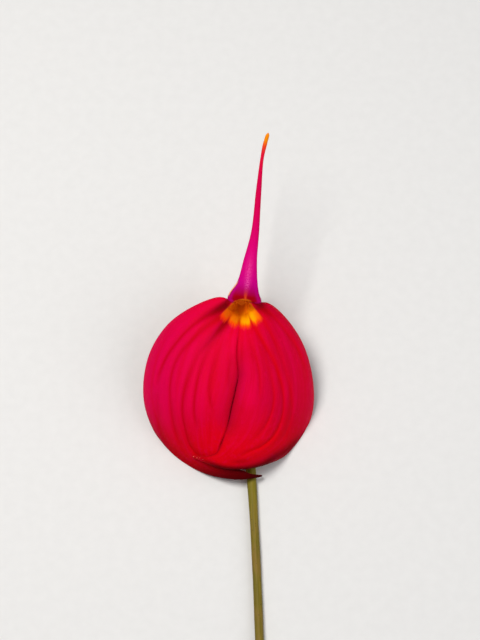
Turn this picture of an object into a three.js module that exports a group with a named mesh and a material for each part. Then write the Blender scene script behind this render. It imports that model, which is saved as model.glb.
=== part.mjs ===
// A picked Masdevallia flower, lying on its back on a level surface.
// Units are millimetres, +Z is up, and the stalk runs away along -Y.
//
// The flower is worked out in its own frame first: x to the right, u up the face and n out of the face.
// Its three sepals are one grown piece: a bent tube that opens into two broad lateral sepals, fused
// along their upper third, and one dorsal sepal drawn out into a long tail. Everything else follows the
// line of the stalk, which leaves the mouth backwards, bends under the flower and lies on the surface.

import * as THREE from 'three';

// ---------------------------------------------------------------- driving dimensions

const FACE_TILT = THREE.MathUtils.degToRad(20); // the face leans this far from level
const FACE_HEIGHT = 26.4; // the flower frame's origin stands this far above the surface
const SEPAL_THICKNESS = 0.8;

const MOUTH = { x: 0.4, u: -1.4, n: -5.0, across: 3.3, along: 2.9 }; // the rim of the tube, an ellipse
const MOUTH_RISE = THREE.MathUtils.degToRad(35); // the tube leaves the mouth this far above straight back
const SINUS = THREE.MathUtils.degToRad(38); // where dorsal and lateral sepals part, above the mouth's sides
const NECK_STRAIGHT = 3.0;
const PEDICEL_RADIUS = 1.45;
const TUBE_LENGTH = 17.0;
const TUBE_RADIUS = 2.9;
const TUBE_END_RADIUS = 1.65;
const CHIN = 1.1; // how far the tube bulges on its inner side, just before the ovary
const TUBE_RINGS = [1.2, 2.6, 4.2, 6, 8, 10, 11.8, 13.2, 14.4, 15.3, 16, 16.6, TUBE_LENGTH]; // from the mouth

const FACE_CENTRE = [-3.35, -24.7]; // middle of the two lateral sepals together
const FACE_HALF = [24.65, 26.3];
const FACE_ROUNDNESS = 0.9; // 0 is a cone and 1 a half ball
const RIM_DEPTH = 12.0; // how far the rim falls back, changed by [degrees from +x, degrees wide, mm]
const RIM_CHANGES = [[-80, 30, -8.2], [-33, 18, 1.4], [92, 50, -5.4]];
const FUSED = 0.36; // the lateral sepals are one up to this share of the seam
const SEAM_GAP = 0.5; // between their free edges
const SEAM_STEP = { deep: 1.1, wide: 1.7 }; // the right sepal lies this much lower along the free seam
const TIP_LIFT = 0.95; // the right tip passes this far in front of the face, and the left one behind
const GROOVES = [0.28, 0.45, 0.58, 0.71, 0.86]; // veins, as shares of the way from seam to margin
const GROOVE_DEPTH = 0.24;
const SEAM_COLUMNS = [0, 0.07, 0.14, 0.21]; // grid columns before the first vein
const ROWS = 26;

const SEAT = 0.3; // clearance wherever one piece sits on another
const OVARY = { length: 8.0, radius: 1.75, ribs: 6, rib: 0.13 };
const BRACT = { start: 44.0, length: 16.0, radius: 2.4, cup: 5.0, point: 3.0 };
const SCAPE = { radius: 1.25, length: 116.0, slant: 0.9 };
const SHEATH = { start: 132.0, length: 15.0, radius: 2.15, point: 2.2 };
const FLAT = 0.12; // pieces on the surface are flattened this much where they lie

// Margins of the lateral sepals in the flower frame, from the mouth to each tip.
const LEFT_MARGIN = [
  [-4.0, 1.4], [-6.4, 1.6], [-13.6, -1.2], [-20.9, -6.4], [-26.2, -14.9], [-28.0, -25.9],
  [-26.4, -34.0], [-20.8, -43.4], [-12.0, -49.0], [-2.6, -51.0], [6.4, -50.4],
];
const SEAM = [[-0.75, -11.0], [-0.9, -16.0], [-0.65, -21.0], [-2.7, -30.0], [-4.2, -37.6], [-5.7, -41.8]];
const LEFT_TIP = [[-5.8, -44.0], [-2.8, -47.6], [6.0, -49.8]];
const RIGHT_MARGIN = [
  [5.6, 0.25], [8.4, -0.1], [13.3, -4.2], [18.6, -12.4], [21.3, -23.4], [20.6, -33.2],
  [15.6, -42.4], [7.0, -47.0], [-4.0, -48.0], [-13.8, -44.9],
];
const RIGHT_TIP = [[-7.1, -43.7], [-9.6, -44.5], [-13.7, -44.4]];

// The dorsal sepal's middle line, as [x, u, n, half width], from its broad skirt to the end of its tail.
const DORSAL = [
  [1.3, 0.8, -3.0, 4.95], [1.35, 2.1, -2.5, 4.55], [2.1, 5.9, -2.4, 2.85], [3.15, 12.4, -3.4, 1.75],
  [4.4, 21.0, -5.2, 1.05], [5.3, 32.7, -6.2, 0.7], [6.4, 42.0, -5.2, 0.45], [7.3, 46.4, -4.2, 0.5],
  [8.2, 49.4, -3.2, 0.36],
];
const DORSAL_COLUMNS = [-1, -0.62, -0.22, 0.22, 0.62, 1]; // from its right edge to its left
const DORSAL_ROWS = 24;
const SKIRT_LEAN = 0.16; // the left corner of the skirt stands higher than the right one
const SKIRT_DROOP = 0.6; // both corners hang a little
const DORSAL_CROWN = 0.32; // how far its edges fall back, as a share of its half width

// ---------------------------------------------------------------- small helpers

const smooth = (from, to, value) => THREE.MathUtils.smoothstep(value, from, to);
const bump = (value, centre, width) => Math.exp(-(((value - centre) / width) ** 2));

function curveThrough(points) {
  const places = points.map(([x, u, n = 0]) => new THREE.Vector3(x, u, n));
  return new THREE.CatmullRomCurve3(places, false, 'centripetal');
}

/** Turns a point of the flower frame into the frame of the surface. */
function laid(x, u, n) {
  return new THREE.Vector3(
    x,
    u * Math.cos(FACE_TILT) - n * Math.sin(FACE_TILT),
    u * Math.sin(FACE_TILT) + n * Math.cos(FACE_TILT) + FACE_HEIGHT,
  );
}

/** A sepal's middle surface settles on the surface below instead of passing through it. */
function settled(point) {
  const lowest = SEPAL_THICKNESS / 2 - 2.2 * FLAT;
  point.z = (point.z + lowest + Math.sqrt((point.z - lowest) ** 2 + 0.25)) / 2;
  return point;
}

/** Makes a mesh of a list of vertices and a list of triangles. */
function bodyOf(vertices, triangles) {
  const geometry = new THREE.BufferGeometry();
  const places = vertices.flatMap((v) => [v.x, v.y, v.z]);
  geometry.setAttribute('position', new THREE.Float32BufferAttribute(places, 3));
  geometry.setIndex(triangles.flat());
  geometry.computeVertexNormals();
  return geometry;
}

// ---------------------------------------------------------------- the line of the stalk

const neckStart = laid(MOUTH.x, MOUTH.u, MOUTH.n);
const neckHeading = -(Math.PI / 2 - FACE_TILT) + MOUTH_RISE; // in the YZ plane, from +Y
const bendStart = {
  y: neckStart.y + NECK_STRAIGHT * Math.cos(neckHeading),
  z: neckStart.z + NECK_STRAIGHT * Math.sin(neckHeading),
};
const bendTurn = Math.PI + neckHeading; // until the stalk runs along -Y
const bendRadius = (bendStart.z - (PEDICEL_RADIUS - FLAT)) / (1 + Math.cos(neckHeading));
const bendCentre = {
  y: bendStart.y + bendRadius * Math.sin(neckHeading),
  z: bendStart.z - bendRadius * Math.cos(neckHeading),
};
const bendEnd = NECK_STRAIGHT + bendRadius * bendTurn;

/** Height of the stalk's middle above the surface: it is carried by its bract and its sheath. */
function stalkHeight(along) {
  const pedicel = PEDICEL_RADIUS - FLAT;
  const bract = BRACT.radius - FLAT;
  const scape = SCAPE.radius - FLAT;
  const sheath = SHEATH.radius - FLAT;
  return pedicel + (bract - pedicel) * smooth(bendEnd, BRACT.start, along)
    + (scape - bract) * smooth(BRACT.start + BRACT.length - 1, BRACT.start + BRACT.length + 11, along)
    + (sheath - scape) * smooth(SHEATH.start - 22, SHEATH.start, along)
    + (scape - sheath) * smooth(SHEATH.start + SHEATH.length, SHEATH.start + 30, along);
}

/** A point of the stalk's middle line, by its distance along the stalk from the mouth. */
function stalkPoint(along) {
  if (along < NECK_STRAIGHT) {
    return new THREE.Vector3(
      MOUTH.x, neckStart.y + along * Math.cos(neckHeading), neckStart.z + along * Math.sin(neckHeading));
  }
  if (along < bendEnd) {
    const heading = neckHeading - (along - NECK_STRAIGHT) / bendRadius;
    return new THREE.Vector3(
      MOUTH.x, bendCentre.y - bendRadius * Math.sin(heading), bendCentre.z + bendRadius * Math.cos(heading));
  }
  const run = along - bendEnd;
  const drift = 7.0 * (1 - Math.exp(-(run ** 2) / (run + 12) / 60));
  return new THREE.Vector3(MOUTH.x + drift, bendCentre.y - run, stalkHeight(along));
}

/** The stalk's own axes at a point: side is about +x, and out is the outer side of the bend. */
function stalkAxes(along) {
  const step = 0.05;
  const ahead = stalkPoint(along + step).sub(stalkPoint(Math.max(along - step, 0))).normalize();
  const side = new THREE.Vector3(1, 0, 0).addScaledVector(ahead, -ahead.x).normalize();
  return { middle: stalkPoint(along), ahead, side, out: side.clone().cross(ahead) };
}

function stalkPlace(along, across, outward) {
  const { middle, side, out } = stalkAxes(along);
  return middle.addScaledVector(side, across).addScaledVector(out, outward);
}

/** A closed body along the stalk; section(share, angle) gives its [across, outward, shift along]. */
function sweep(from, to, rows, sides, section) {
  const vertices = [];
  const triangles = [];
  for (let row = 0; row <= rows; row++) {
    for (let k = 0; k < sides; k++) {
      const angle = ((k + 0.5) / sides) * 2 * Math.PI;
      const share = row / rows;
      const [across, outward, shift = 0] = section(share, angle);
      const place = stalkPlace(from + (to - from) * share + shift, across, outward);
      place.z = Math.max(place.z, 0);
      vertices.push(place);
    }
  }
  for (let row = 0; row < rows; row++) {
    for (let k = 0; k < sides; k++) {
      const a = row * sides + k;
      const b = row * sides + ((k + 1) % sides);
      triangles.push([a, a + sides, b], [b, a + sides, b + sides]);
    }
  }
  for (const [row, first, second] of [[0, 0, 1], [rows, 1, 0]]) {
    const ring = vertices.slice(row * sides, (row + 1) * sides);
    const hub = ring.reduce((sum, v) => sum.add(v), new THREE.Vector3()).divideScalar(sides);
    vertices.push(hub);
    for (let k = 0; k < sides; k++) {
      const edge = [row * sides + k, row * sides + ((k + 1) % sides)];
      triangles.push([edge[first], edge[second], vertices.length - 1]);
    }
  }
  return bodyOf(vertices, triangles);
}

// ---------------------------------------------------------------- the sepals

/** How far the face falls back from its foremost point, at a place on it. */
function faceDepth(x, u) {
  const dx = (x - FACE_CENTRE[0]) / FACE_HALF[0];
  const du = (u - FACE_CENTRE[1]) / FACE_HALF[1];
  const reach = Math.min(Math.hypot(dx, du), 1.06);
  const around = THREE.MathUtils.radToDeg(Math.atan2(du, dx));
  const changes = RIM_CHANGES.map(([at, wide, change]) => change * bump(around, at, wide));
  const rim = changes.reduce((sum, change) => sum + change, RIM_DEPTH);
  const full = 1 - Math.sqrt(1 - FACE_ROUNDNESS ** 2);
  return (-rim * (1 - Math.sqrt(1 - (FACE_ROUNDNESS * reach) ** 2))) / full;
}

/** A point of the mouth's rim, by its angle from +x. */
function mouthPoint(angle) {
  const rise = MOUTH.along * Math.sin(angle);
  return new THREE.Vector3(
    MOUTH.x + MOUTH.across * Math.cos(angle),
    MOUTH.u + rise * Math.cos(MOUTH_RISE),
    MOUTH.n + rise * Math.sin(MOUTH_RISE),
  );
}

/** Half sizes of the tube, by distance from the mouth and angle. */
function tubeSection(along, angle) {
  const share = along / TUBE_LENGTH;
  const flare = Math.exp(-along / 1.6);
  const closing = smooth(0.86, 1, share);
  const round = TUBE_RADIUS + (TUBE_END_RADIUS - TUBE_RADIUS) * closing ** 1.5;
  const chin = CHIN * bump(share, 0.84, 0.12) * Math.max(0, -Math.sin(angle)) ** 2;
  const across = round + (MOUTH.across - TUBE_RADIUS) * flare;
  const outward = round + (MOUTH.along - TUBE_RADIUS) * flare + chin;
  return [across * Math.cos(angle), outward * Math.sin(angle)];
}

/** Shares from seam to margin: one column on each vein, one on each ridge between, and a few by the seam. */
function sepalColumns() {
  const columns = [...SEAM_COLUMNS];
  GROOVES.forEach((groove, i) => {
    const next = GROOVES[i + 1] ?? 1;
    columns.push(groove, (groove + next) / 2);
  });
  columns.push(1);
  return columns;
}

/** The middle surface of one lateral sepal: rows from the mouth to the tip, columns from seam to margin. */
function lateralSepal(side, columns, rows) {
  const left = side < 0;
  const sinusAngle = left ? -Math.PI - SINUS : SINUS;
  const angleAt = (share) => -Math.PI / 2 + (sinusAngle + Math.PI / 2) * share;
  const corner = mouthPoint(sinusAngle);
  const foot = mouthPoint(-Math.PI / 2);
  const margin = curveThrough([[corner.x, corner.y], ...(left ? LEFT_MARGIN : RIGHT_MARGIN)]);
  const seam = curveThrough([[foot.x, foot.y], ...SEAM, ...(left ? LEFT_TIP : RIGHT_TIP)]);
  return rows.map((v) => {
    const outer = margin.getPointAt(v);
    const inner = seam.getPointAt(v);
    inner.x += side * (SEAM_GAP / 2) * smooth(FUSED, FUSED + 0.05, v);
    return columns.map((share) => {
      const rim = mouthPoint(angleAt(share));
      const start = seam.getPointAt(0).lerp(margin.getPointAt(0), share);
      const fade = Math.exp(-v / 0.07) * (1 - smooth(0.25, 0.5, v));
      const x = inner.x + (outer.x - inner.x) * share + (rim.x - start.x) * fade;
      const u = inner.y + (outer.y - inner.y) * share + (rim.y - start.y) * fade;
      const rimDepth = faceDepth(rim.x, rim.y);
      const ripple = Math.cos(columns.indexOf(share) * Math.PI) * (share > 0.25 && share < 1 ? 1 : 0);
      const groove = GROOVE_DEPTH * ripple * smooth(0.05, 0.25, v) * (1 - smooth(0.75, 0.95, v));
      const tips = side * TIP_LIFT * smooth(left ? 0.5 : 0.6, left ? 0.7 : 0.8, v);
      const beside = share * Math.hypot(outer.x - inner.x, outer.y - inner.y);
      const free = smooth(FUSED - 0.06, FUSED + 0.1, v) * (1 - smooth(0.8, 0.97, v));
      const step = left ? 0 : SEAM_STEP.deep * Math.exp(-beside / SEAM_STEP.wide) * free;
      return new THREE.Vector3(x, u, faceDepth(x, u) + (rim.z - rimDepth) * fade - groove - step + tips);
    });
  });
}

/** The middle surface of the dorsal sepal: a skirt round the mouth's top that draws out into the tail. */
function dorsalSepal(columns, rows) {
  const line = curveThrough(DORSAL);
  const widths = curveThrough(DORSAL.map(([x, u, , half]) => [x, u, half]));
  return rows.map((t) => {
    const middle = line.getPoint(t);
    const half = widths.getPoint(t).z;
    const heading = line.getTangent(t).setZ(0).normalize();
    const rimShare = 1 - smooth(0, 0.02, t);
    return columns.map((q) => {
      const lean = heading.x * 0.5 + SKIRT_LEAN * Math.exp(-t / 0.1);
      const droop = SKIRT_DROOP * q * q * Math.exp(-t / 0.03);
      const place = new THREE.Vector3(
        middle.x - q * half * heading.y,
        middle.y + q * half * lean - droop,
        middle.z - DORSAL_CROWN * half * q * q,
      );
      return place.lerp(mouthPoint(Math.PI / 2 + q * (Math.PI / 2 - SINUS)), rimShare);
    });
  });
}

/** Collects grids of points that share corners, thickens them and closes their edges. */
class Sheet {
  constructor() {
    this.points = [];
    this.faces = [];
  }

  add(point) {
    this.points.push(point);
    return this.points.length - 1;
  }

  grid(rows, flip) {
    for (let r = 0; r + 1 < rows.length; r++) {
      for (let c = 0; c + 1 < rows[r].length; c++) {
        const [a, b, d, e] = [rows[r][c], rows[r][c + 1], rows[r + 1][c + 1], rows[r + 1][c]];
        const halves = [[a, b, d], [a, d, e]];
        this.faces.push(...halves.map((f) => (flip ? [f[0], f[2], f[1]] : f)));
      }
    }
  }

  thicken(thickness) {
    const middle = bodyOf(this.points, this.faces);
    const normals = middle.getAttribute('normal');
    const count = this.points.length;
    const vertices = [1, -1].flatMap((side) => this.points.map((p, i) => {
      const normal = new THREE.Vector3().fromBufferAttribute(normals, i);
      const v = p.clone().addScaledVector(normal, (side * thickness) / 2);
      v.z = Math.max(v.z, 0);
      return v;
    }));
    const triangles = this.faces.flatMap(([a, b, c]) => [[a, b, c], [a + count, c + count, b + count]]);
    const seen = new Set(this.faces.flatMap(([a, b, c]) => [`${a} ${b}`, `${b} ${c}`, `${c} ${a}`]));
    for (const [a, b, c] of this.faces) {
      for (const [from, to] of [[a, b], [b, c], [c, a]]) {
        if (!seen.has(`${to} ${from}`)) {
          triangles.push([to, from, from + count], [to, from + count, to + count]);
        }
      }
    }
    return bodyOf(vertices, triangles);
  }
}

function sepalsBody() {
  const sheet = new Sheet();
  const columns = sepalColumns();
  // rows lie closer together towards the mouth and the tips
  const shares = (count) => Array.from({ length: count + 1 }, (_, i) => i / count);
  const lateralRows = shares(ROWS).map((t) => t - (0.12 * Math.sin(2 * Math.PI * t)) / (2 * Math.PI));
  const dorsalRows = shares(DORSAL_ROWS).map((t) => t ** 1.15);
  const laidOut = (grid) => grid.map((row) => row.map((p) => settled(laid(p.x, p.y, p.z))));
  const right = laidOut(lateralSepal(1, columns, lateralRows)).map((row) => row.map((p) => sheet.add(p)));
  const leftPlaces = laidOut(lateralSepal(-1, columns, lateralRows));
  const left = leftPlaces.map((row, r) => row.map((p, c) => (
    c === 0 && lateralRows[r] <= FUSED ? right[r][0] : sheet.add(p))));
  const dorsalPlaces = laidOut(dorsalSepal(DORSAL_COLUMNS, dorsalRows));
  const dorsal = dorsalPlaces.map((row, r) => row.map((p, c) => {
    if (r === 0 && c === 0) return right[0][columns.length - 1];
    if (r === 0 && c === row.length - 1) return left[0][columns.length - 1];
    return sheet.add(p);
  }));
  // once round the mouth: down the left side, up the right side and over the dorsal sepal's base
  const rim = [...left[0].slice().reverse(), ...right[0].slice(1), ...dorsal[0].slice(1, -1)];
  const angles = rim.map((i) => {
    const { middle, side, out } = stalkAxes(0);
    const offset = sheet.points[i].clone().sub(middle);
    return Math.atan2(offset.dot(out) / MOUTH.along, offset.dot(side) / MOUTH.across);
  });
  const rings = [rim, ...TUBE_RINGS.map((along) => angles.map((angle) => {
    const [across, outward] = tubeSection(along, angle);
    return sheet.add(stalkPlace(along, across, outward));
  }))];
  sheet.grid(right, true);
  sheet.grid(left, false);
  sheet.grid(dorsal, true);
  sheet.grid(rings.map((ring) => [...ring, ring[0]]), false);
  return sheet.thicken(SEPAL_THICKNESS);
}

// ---------------------------------------------------------------- the stalk's pieces

const circle = (radius, angle) => [radius * Math.cos(angle), radius * Math.sin(angle)];

const ovaryStart = TUBE_LENGTH + SEPAL_THICKNESS / 2 + SEAT;
const pedicelStart = ovaryStart + OVARY.length + SEAT;
const scapeStart = BRACT.start + BRACT.length + SEAT;

function ovaryBody() {
  return sweep(ovaryStart, ovaryStart + OVARY.length, 10, 24, (share, angle) => {
    const body = OVARY.radius * (0.82 + 0.18 * Math.sin(Math.PI * Math.min(share * 1.15, 1)));
    return circle(body * (1 + OVARY.rib * Math.cos(OVARY.ribs * angle)), angle);
  });
}

function pedicelBody() {
  const end = BRACT.start + BRACT.length - BRACT.cup - SEAT;
  return sweep(pedicelStart, end, 18, 12, (share, angle) => (
    circle(PEDICEL_RADIUS * (0.94 + 0.06 * share), angle)));
}

/** A sheath's mouth is drawn up to a point on one side. */
const pointed = (height, angle, middle) => height * (0.5 + 0.5 * Math.cos(angle - middle)) ** 2;

/** A cup that holds the foot of the pedicel: its profile runs up the inside and down the outside. */
function bractBody() {
  const widest = BRACT.radius;
  const outside = [[0, 2.1], [0.12, 2.34], [0.3, widest], [0.5, 2.36], [0.7, 2.05], [0.86, 1.65], [1, 1.3]];
  const bottom = 1 - BRACT.cup / BRACT.length;
  const inside = [[0, 1.76], [0.25, 1.78], [0.5, 1.76], [bottom, 1.74]];
  const profile = [...inside.reverse(), ...outside];
  const last = profile.length - 1;
  return sweep(0, last, last, 16, (share, angle) => {
    const row = Math.round(share * last);
    const [place, radius] = profile[row];
    const point = pointed(BRACT.point, angle, 0.7) * (1 - smooth(0, 0.45, place));
    const along = BRACT.start + BRACT.length * place - point;
    return [...circle(radius, angle), along - row];
  });
}

function scapeBody() {
  return sweep(scapeStart, scapeStart + SCAPE.length, 46, 12, (share, angle) => {
    const cut = SCAPE.slant * Math.sin(angle) * smooth(0.97, 1, share);
    return [...circle(SCAPE.radius, angle), cut];
  });
}

/** A short dry sleeve round a joint of the scape, open at its upper end and tight at its lower one. */
function sheathBody() {
  const bore = SCAPE.radius + SEAT;
  const outside = [[0, SHEATH.radius], [0.3, SHEATH.radius], [0.7, 2.1], [1, 2.05]];
  const profile = [...outside, ...[1, 0.66, 0.33, 0].map((place) => [place, bore])];
  return ringAlong(profile, 16, (place, angle) => {
    const point = pointed(SHEATH.point, angle, 2.2) * (1 - smooth(0, 0.5, place));
    return SHEATH.start + SHEATH.length * place - point;
  });
}

/** A closed ring round the stalk: its profile is a loop of [place, radius]. */
function ringAlong(profile, sides, alongAt) {
  const vertices = [];
  const triangles = [];
  profile.forEach(([place, radius], row) => {
    for (let k = 0; k < sides; k++) {
      const angle = ((k + 0.5) / sides) * 2 * Math.PI;
      const v = stalkPlace(alongAt(place, angle), ...circle(radius, angle));
      v.z = Math.max(v.z, 0);
      vertices.push(v);
      const a = row * sides + k;
      const b = row * sides + ((k + 1) % sides);
      const next = (((row + 1) % profile.length) - row) * sides;
      triangles.push([a, a + next, b], [b, a + next, b + next]);
    }
  });
  return bodyOf(vertices, triangles);
}

// ---------------------------------------------------------------- the small organs inside the tube

const COLUMN = { from: TUBE_LENGTH - 6.0, to: ovaryStart - SEAT, radius: 0.75, taper: 0.12, arch: 0.35 };
const ANTHER_CAP = { from: TUBE_LENGTH - 7.2, radius: 0.8 };
const PETAL = { from: TUBE_LENGTH - 6.2, to: TUBE_LENGTH - 1.0, beside: 1.4, thick: 0.32, high: 0.9, up: 0.35 };
const LIP = { from: TUBE_LENGTH - 6.0, to: TUBE_LENGTH - 1.4, below: 1.4, thick: 0.32, slim: 0.6, wide: 1.1 };

function columnBody() {
  return sweep(COLUMN.from, COLUMN.to, 8, 10, (share, angle) => {
    const [across, outward] = circle(COLUMN.radius - COLUMN.taper * share, angle);
    return [across, outward + COLUMN.arch * Math.sin(Math.PI * share)];
  });
}

function antherCapBody() {
  return sweep(ANTHER_CAP.from, COLUMN.from - SEAT, 4, 10, (share, angle) => (
    circle(ANTHER_CAP.radius * Math.sqrt(0.15 + 0.85 * share), angle)));
}

function petalBody(side) {
  return sweep(PETAL.from, PETAL.to, 7, 10, (share, angle) => {
    const half = PETAL.high * Math.sqrt(Math.sin(Math.PI * (0.12 + 0.7 * share)));
    return [side * PETAL.beside + PETAL.thick * Math.cos(angle), PETAL.up + half * Math.sin(angle)];
  });
}

function lipBody() {
  return sweep(LIP.from, LIP.to, 8, 12, (share, angle) => {
    const bulge = Math.sin(Math.PI * Math.min(1, 0.25 + share));
    const half = LIP.slim + (LIP.wide - LIP.slim) * bulge;
    return [half * Math.cos(angle), -LIP.below + LIP.thick * Math.sin(angle)];
  });
}

// ---------------------------------------------------------------- assembly

const flower = new THREE.Group();

function place(name, geometry, color, roughness) {
  const mesh = new THREE.Mesh(geometry, new THREE.MeshStandardMaterial({ color, roughness, metalness: 0 }));
  mesh.name = name;
  flower.add(mesh);
}

place('sepals', sepalsBody(), 0xd6083a, 0.45);
place('petal_left', petalBody(-1), 0xf2e3c4, 0.5);
place('petal_right', petalBody(1), 0xf2e3c4, 0.5);
place('lip', lipBody(), 0xa8273a, 0.5);
place('column', columnBody(), 0xf0e6c8, 0.5);
place('anther_cap', antherCapBody(), 0xfaf4de, 0.5);
place('ovary', ovaryBody(), 0x89611e, 0.5);
place('pedicel', pedicelBody(), 0xb98f6a, 0.5);
place('floral_bract', bractBody(), 0xc8b860, 0.6);
place('scape', scapeBody(), 0x5f5220, 0.5);
place('scape_sheath', sheathBody(), 0x989443, 0.7);

// the origin is under the middle of the whole flower, on the surface
const box = new THREE.Box3().setFromObject(flower);
flower.position.set(-(box.min.x + box.max.x) / 2, -(box.min.y + box.max.y) / 2, -box.min.z);

export default flower;
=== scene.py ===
# %% [markdown]
# # A picked Masdevallia flower
#
# A Masdevallia flower is mostly sepals. Three of them grow together into a bent tube. Two open into broad
# blades that are joined down the middle, and the third stands up as a long thin tail. Petals, lip and
# column are tiny and sit deep in the tube. This notebook dresses the flower that the frame holds: it lies
# on its back on a pale surface, with its cut stalk running away under the face.
#
# The frame gives the sizes and places. Every dressed piece follows the formulas of the solid that it
# stands for, only finer and with its veins and folds, so it lies where the solid lies.

import math

import bmesh
import bpy
import numpy as np
from mathutils import Matrix, Vector
from mathutils.bvhtree import BVHTree


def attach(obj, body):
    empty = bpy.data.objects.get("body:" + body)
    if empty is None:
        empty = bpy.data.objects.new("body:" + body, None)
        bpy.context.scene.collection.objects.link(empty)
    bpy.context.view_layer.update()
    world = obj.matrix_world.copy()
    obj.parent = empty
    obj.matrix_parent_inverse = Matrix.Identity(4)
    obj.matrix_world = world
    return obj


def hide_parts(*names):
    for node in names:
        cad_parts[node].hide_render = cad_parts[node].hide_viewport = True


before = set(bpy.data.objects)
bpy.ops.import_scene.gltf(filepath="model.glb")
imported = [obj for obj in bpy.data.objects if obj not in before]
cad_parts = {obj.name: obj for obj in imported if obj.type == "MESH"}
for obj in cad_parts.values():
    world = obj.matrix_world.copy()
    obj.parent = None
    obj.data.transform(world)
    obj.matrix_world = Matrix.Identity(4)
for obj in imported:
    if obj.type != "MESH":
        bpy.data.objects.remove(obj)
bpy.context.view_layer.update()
print("frame nodes:", sorted(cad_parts))

# %% [markdown]
# ## Sizes
#
# Sizes are in millimetres, because a flower is small, and one constant turns them into metres at the end.
# The flower has a frame of its own: x to the right, u up the face and n out of the face. The face leans
# 20 degrees from level, and `SHIFT` brings everything to the frame's origin under the flower's middle.

# %% Driving sizes of the flower
MM = 0.001
FACE_TILT = math.radians(20)
FACE_HEIGHT = 26.4  # of the flower frame's origin, above the surface
SHIFT = np.array([3.2838, 51.9988, 0.0])
MOUTH_X, MOUTH_U, MOUTH_N = 0.4, -1.4, -5.0
MOUTH_ACROSS, MOUTH_ALONG = 3.3, 2.9
MOUTH_RISE = math.radians(35)  # the tube leaves the mouth this far above straight back
SINUS = math.radians(38)  # where dorsal and lateral sepals part, above the mouth's sides
NECK_STRAIGHT = 3.0
PEDICEL_RADIUS = 1.45
TUBE_LENGTH = 17.0
TUBE_RADIUS = 2.9
THROAT_RADIUS = 2.45
TUBE_END_RADIUS = 1.65
CHIN = 0.9  # how far the tube bulges on its inner side, just before the ovary
FACE_CENTRE = (-3.35, -24.7)  # middle of the two lateral sepals together
FACE_HALF = (24.65, 26.3)
FUSED = 0.36  # the lateral sepals are one up to this share of the seam
TIP_LIFT = 0.95  # the right tip passes this far in front of the face, and the left one behind
FLAT = 0.12  # the solids on the surface are flattened this much where they lie
OVARY_LENGTH, OVARY_RADIUS, OVARY_RIBS, OVARY_RIB = 8.0, 1.75, 6, 0.13
BRACT_START, BRACT_LENGTH, BRACT_RADIUS, BRACT_CUP = 44.0, 16.0, 2.4, 5.0
SCAPE_RADIUS, SCAPE_LENGTH = 1.25, 116.0
SHEATH_START, SHEATH_LENGTH, SHEATH_RADIUS = 132.0, 15.0, 2.15
SEAT = 0.3  # clearance wherever one piece sits on another
SOLID_SEPAL = 0.8  # thickness of the solid that stands for the sepals

# The lateral sepals' outlines, as x and u on the face, from the mouth to each tip.
LEFT_MARGIN = [
    (-4.0, 1.4), (-6.4, 1.7), (-13.7, -1.0), (-21.1, -6.2), (-26.6, -14.8), (-28.5, -25.9),
    (-26.9, -34.2), (-21.2, -43.8), (-12.2, -49.3), (-2.6, -51.3), (2.6, -51.1), (6.4, -50.6),
]
RIGHT_MARGIN = [
    (5.6, 0.25), (8.4, -0.1), (13.3, -4.2), (18.6, -12.3), (21.5, -23.4), (21.1, -33.4),
    (16.3, -42.8), (7.2, -47.2), (-4.0, -48.05), (-13.9, -44.95),
]
SEAM = [(-0.75, -11.0), (-0.9, -16.0), (-0.65, -21.0), (-2.7, -30.0), (-4.2, -37.6), (-5.7, -41.8)]
LEFT_TIP = [(-5.8, -44.0), (-2.8, -47.6), (0.9, -48.8), (3.1, -49.75), (6.3, -50.3)]
RIGHT_TIP = [(-7.1, -43.7), (-9.6, -44.45), (-13.8, -44.75)]
DORSAL = [  # x, u, n, half width
    (1.3, 0.8, -3.0, 4.95), (1.3, 2.1, -2.5, 4.6), (2.15, 5.9, -2.4, 2.95), (3.0, 12.4, -3.4, 1.93),
    (4.45, 21.0, -5.2, 1.1), (5.45, 32.7, -6.2, 0.74), (6.4, 42.0, -5.2, 0.45), (7.3, 46.4, -4.2, 0.58),
    (8.2, 49.4, -3.2, 0.46),
]
SKIRT_LEAN, SKIRT_DROOP = 0.16, 0.6  # the skirt's left corner stands higher, and both hang a little
print("the face is", 2 * FACE_HALF[0], "by", 2 * FACE_HALF[1], "mm")

# %% [markdown]
# ## Lines and places
#
# A petal's edge is a smooth line through a handful of chosen points. A centripetal Catmull-Rom line passes
# through every point and never loops back on itself, so a few points are enough. `by_step` walks the line
# in equal steps from point to point, and `by_length` walks it at an even speed.


# %% Easy slopes
def smooth(low, high, value):
    """0 below low, 1 above high and an easy slope between."""
    t = np.clip((value - low) / (high - low), 0, 1)
    return t * t * (3 - 2 * t)


def bump(value, centre, width):
    """1 at the centre and almost 0 two widths away from it."""
    return np.exp(-(((value - centre) / width) ** 2))


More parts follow.
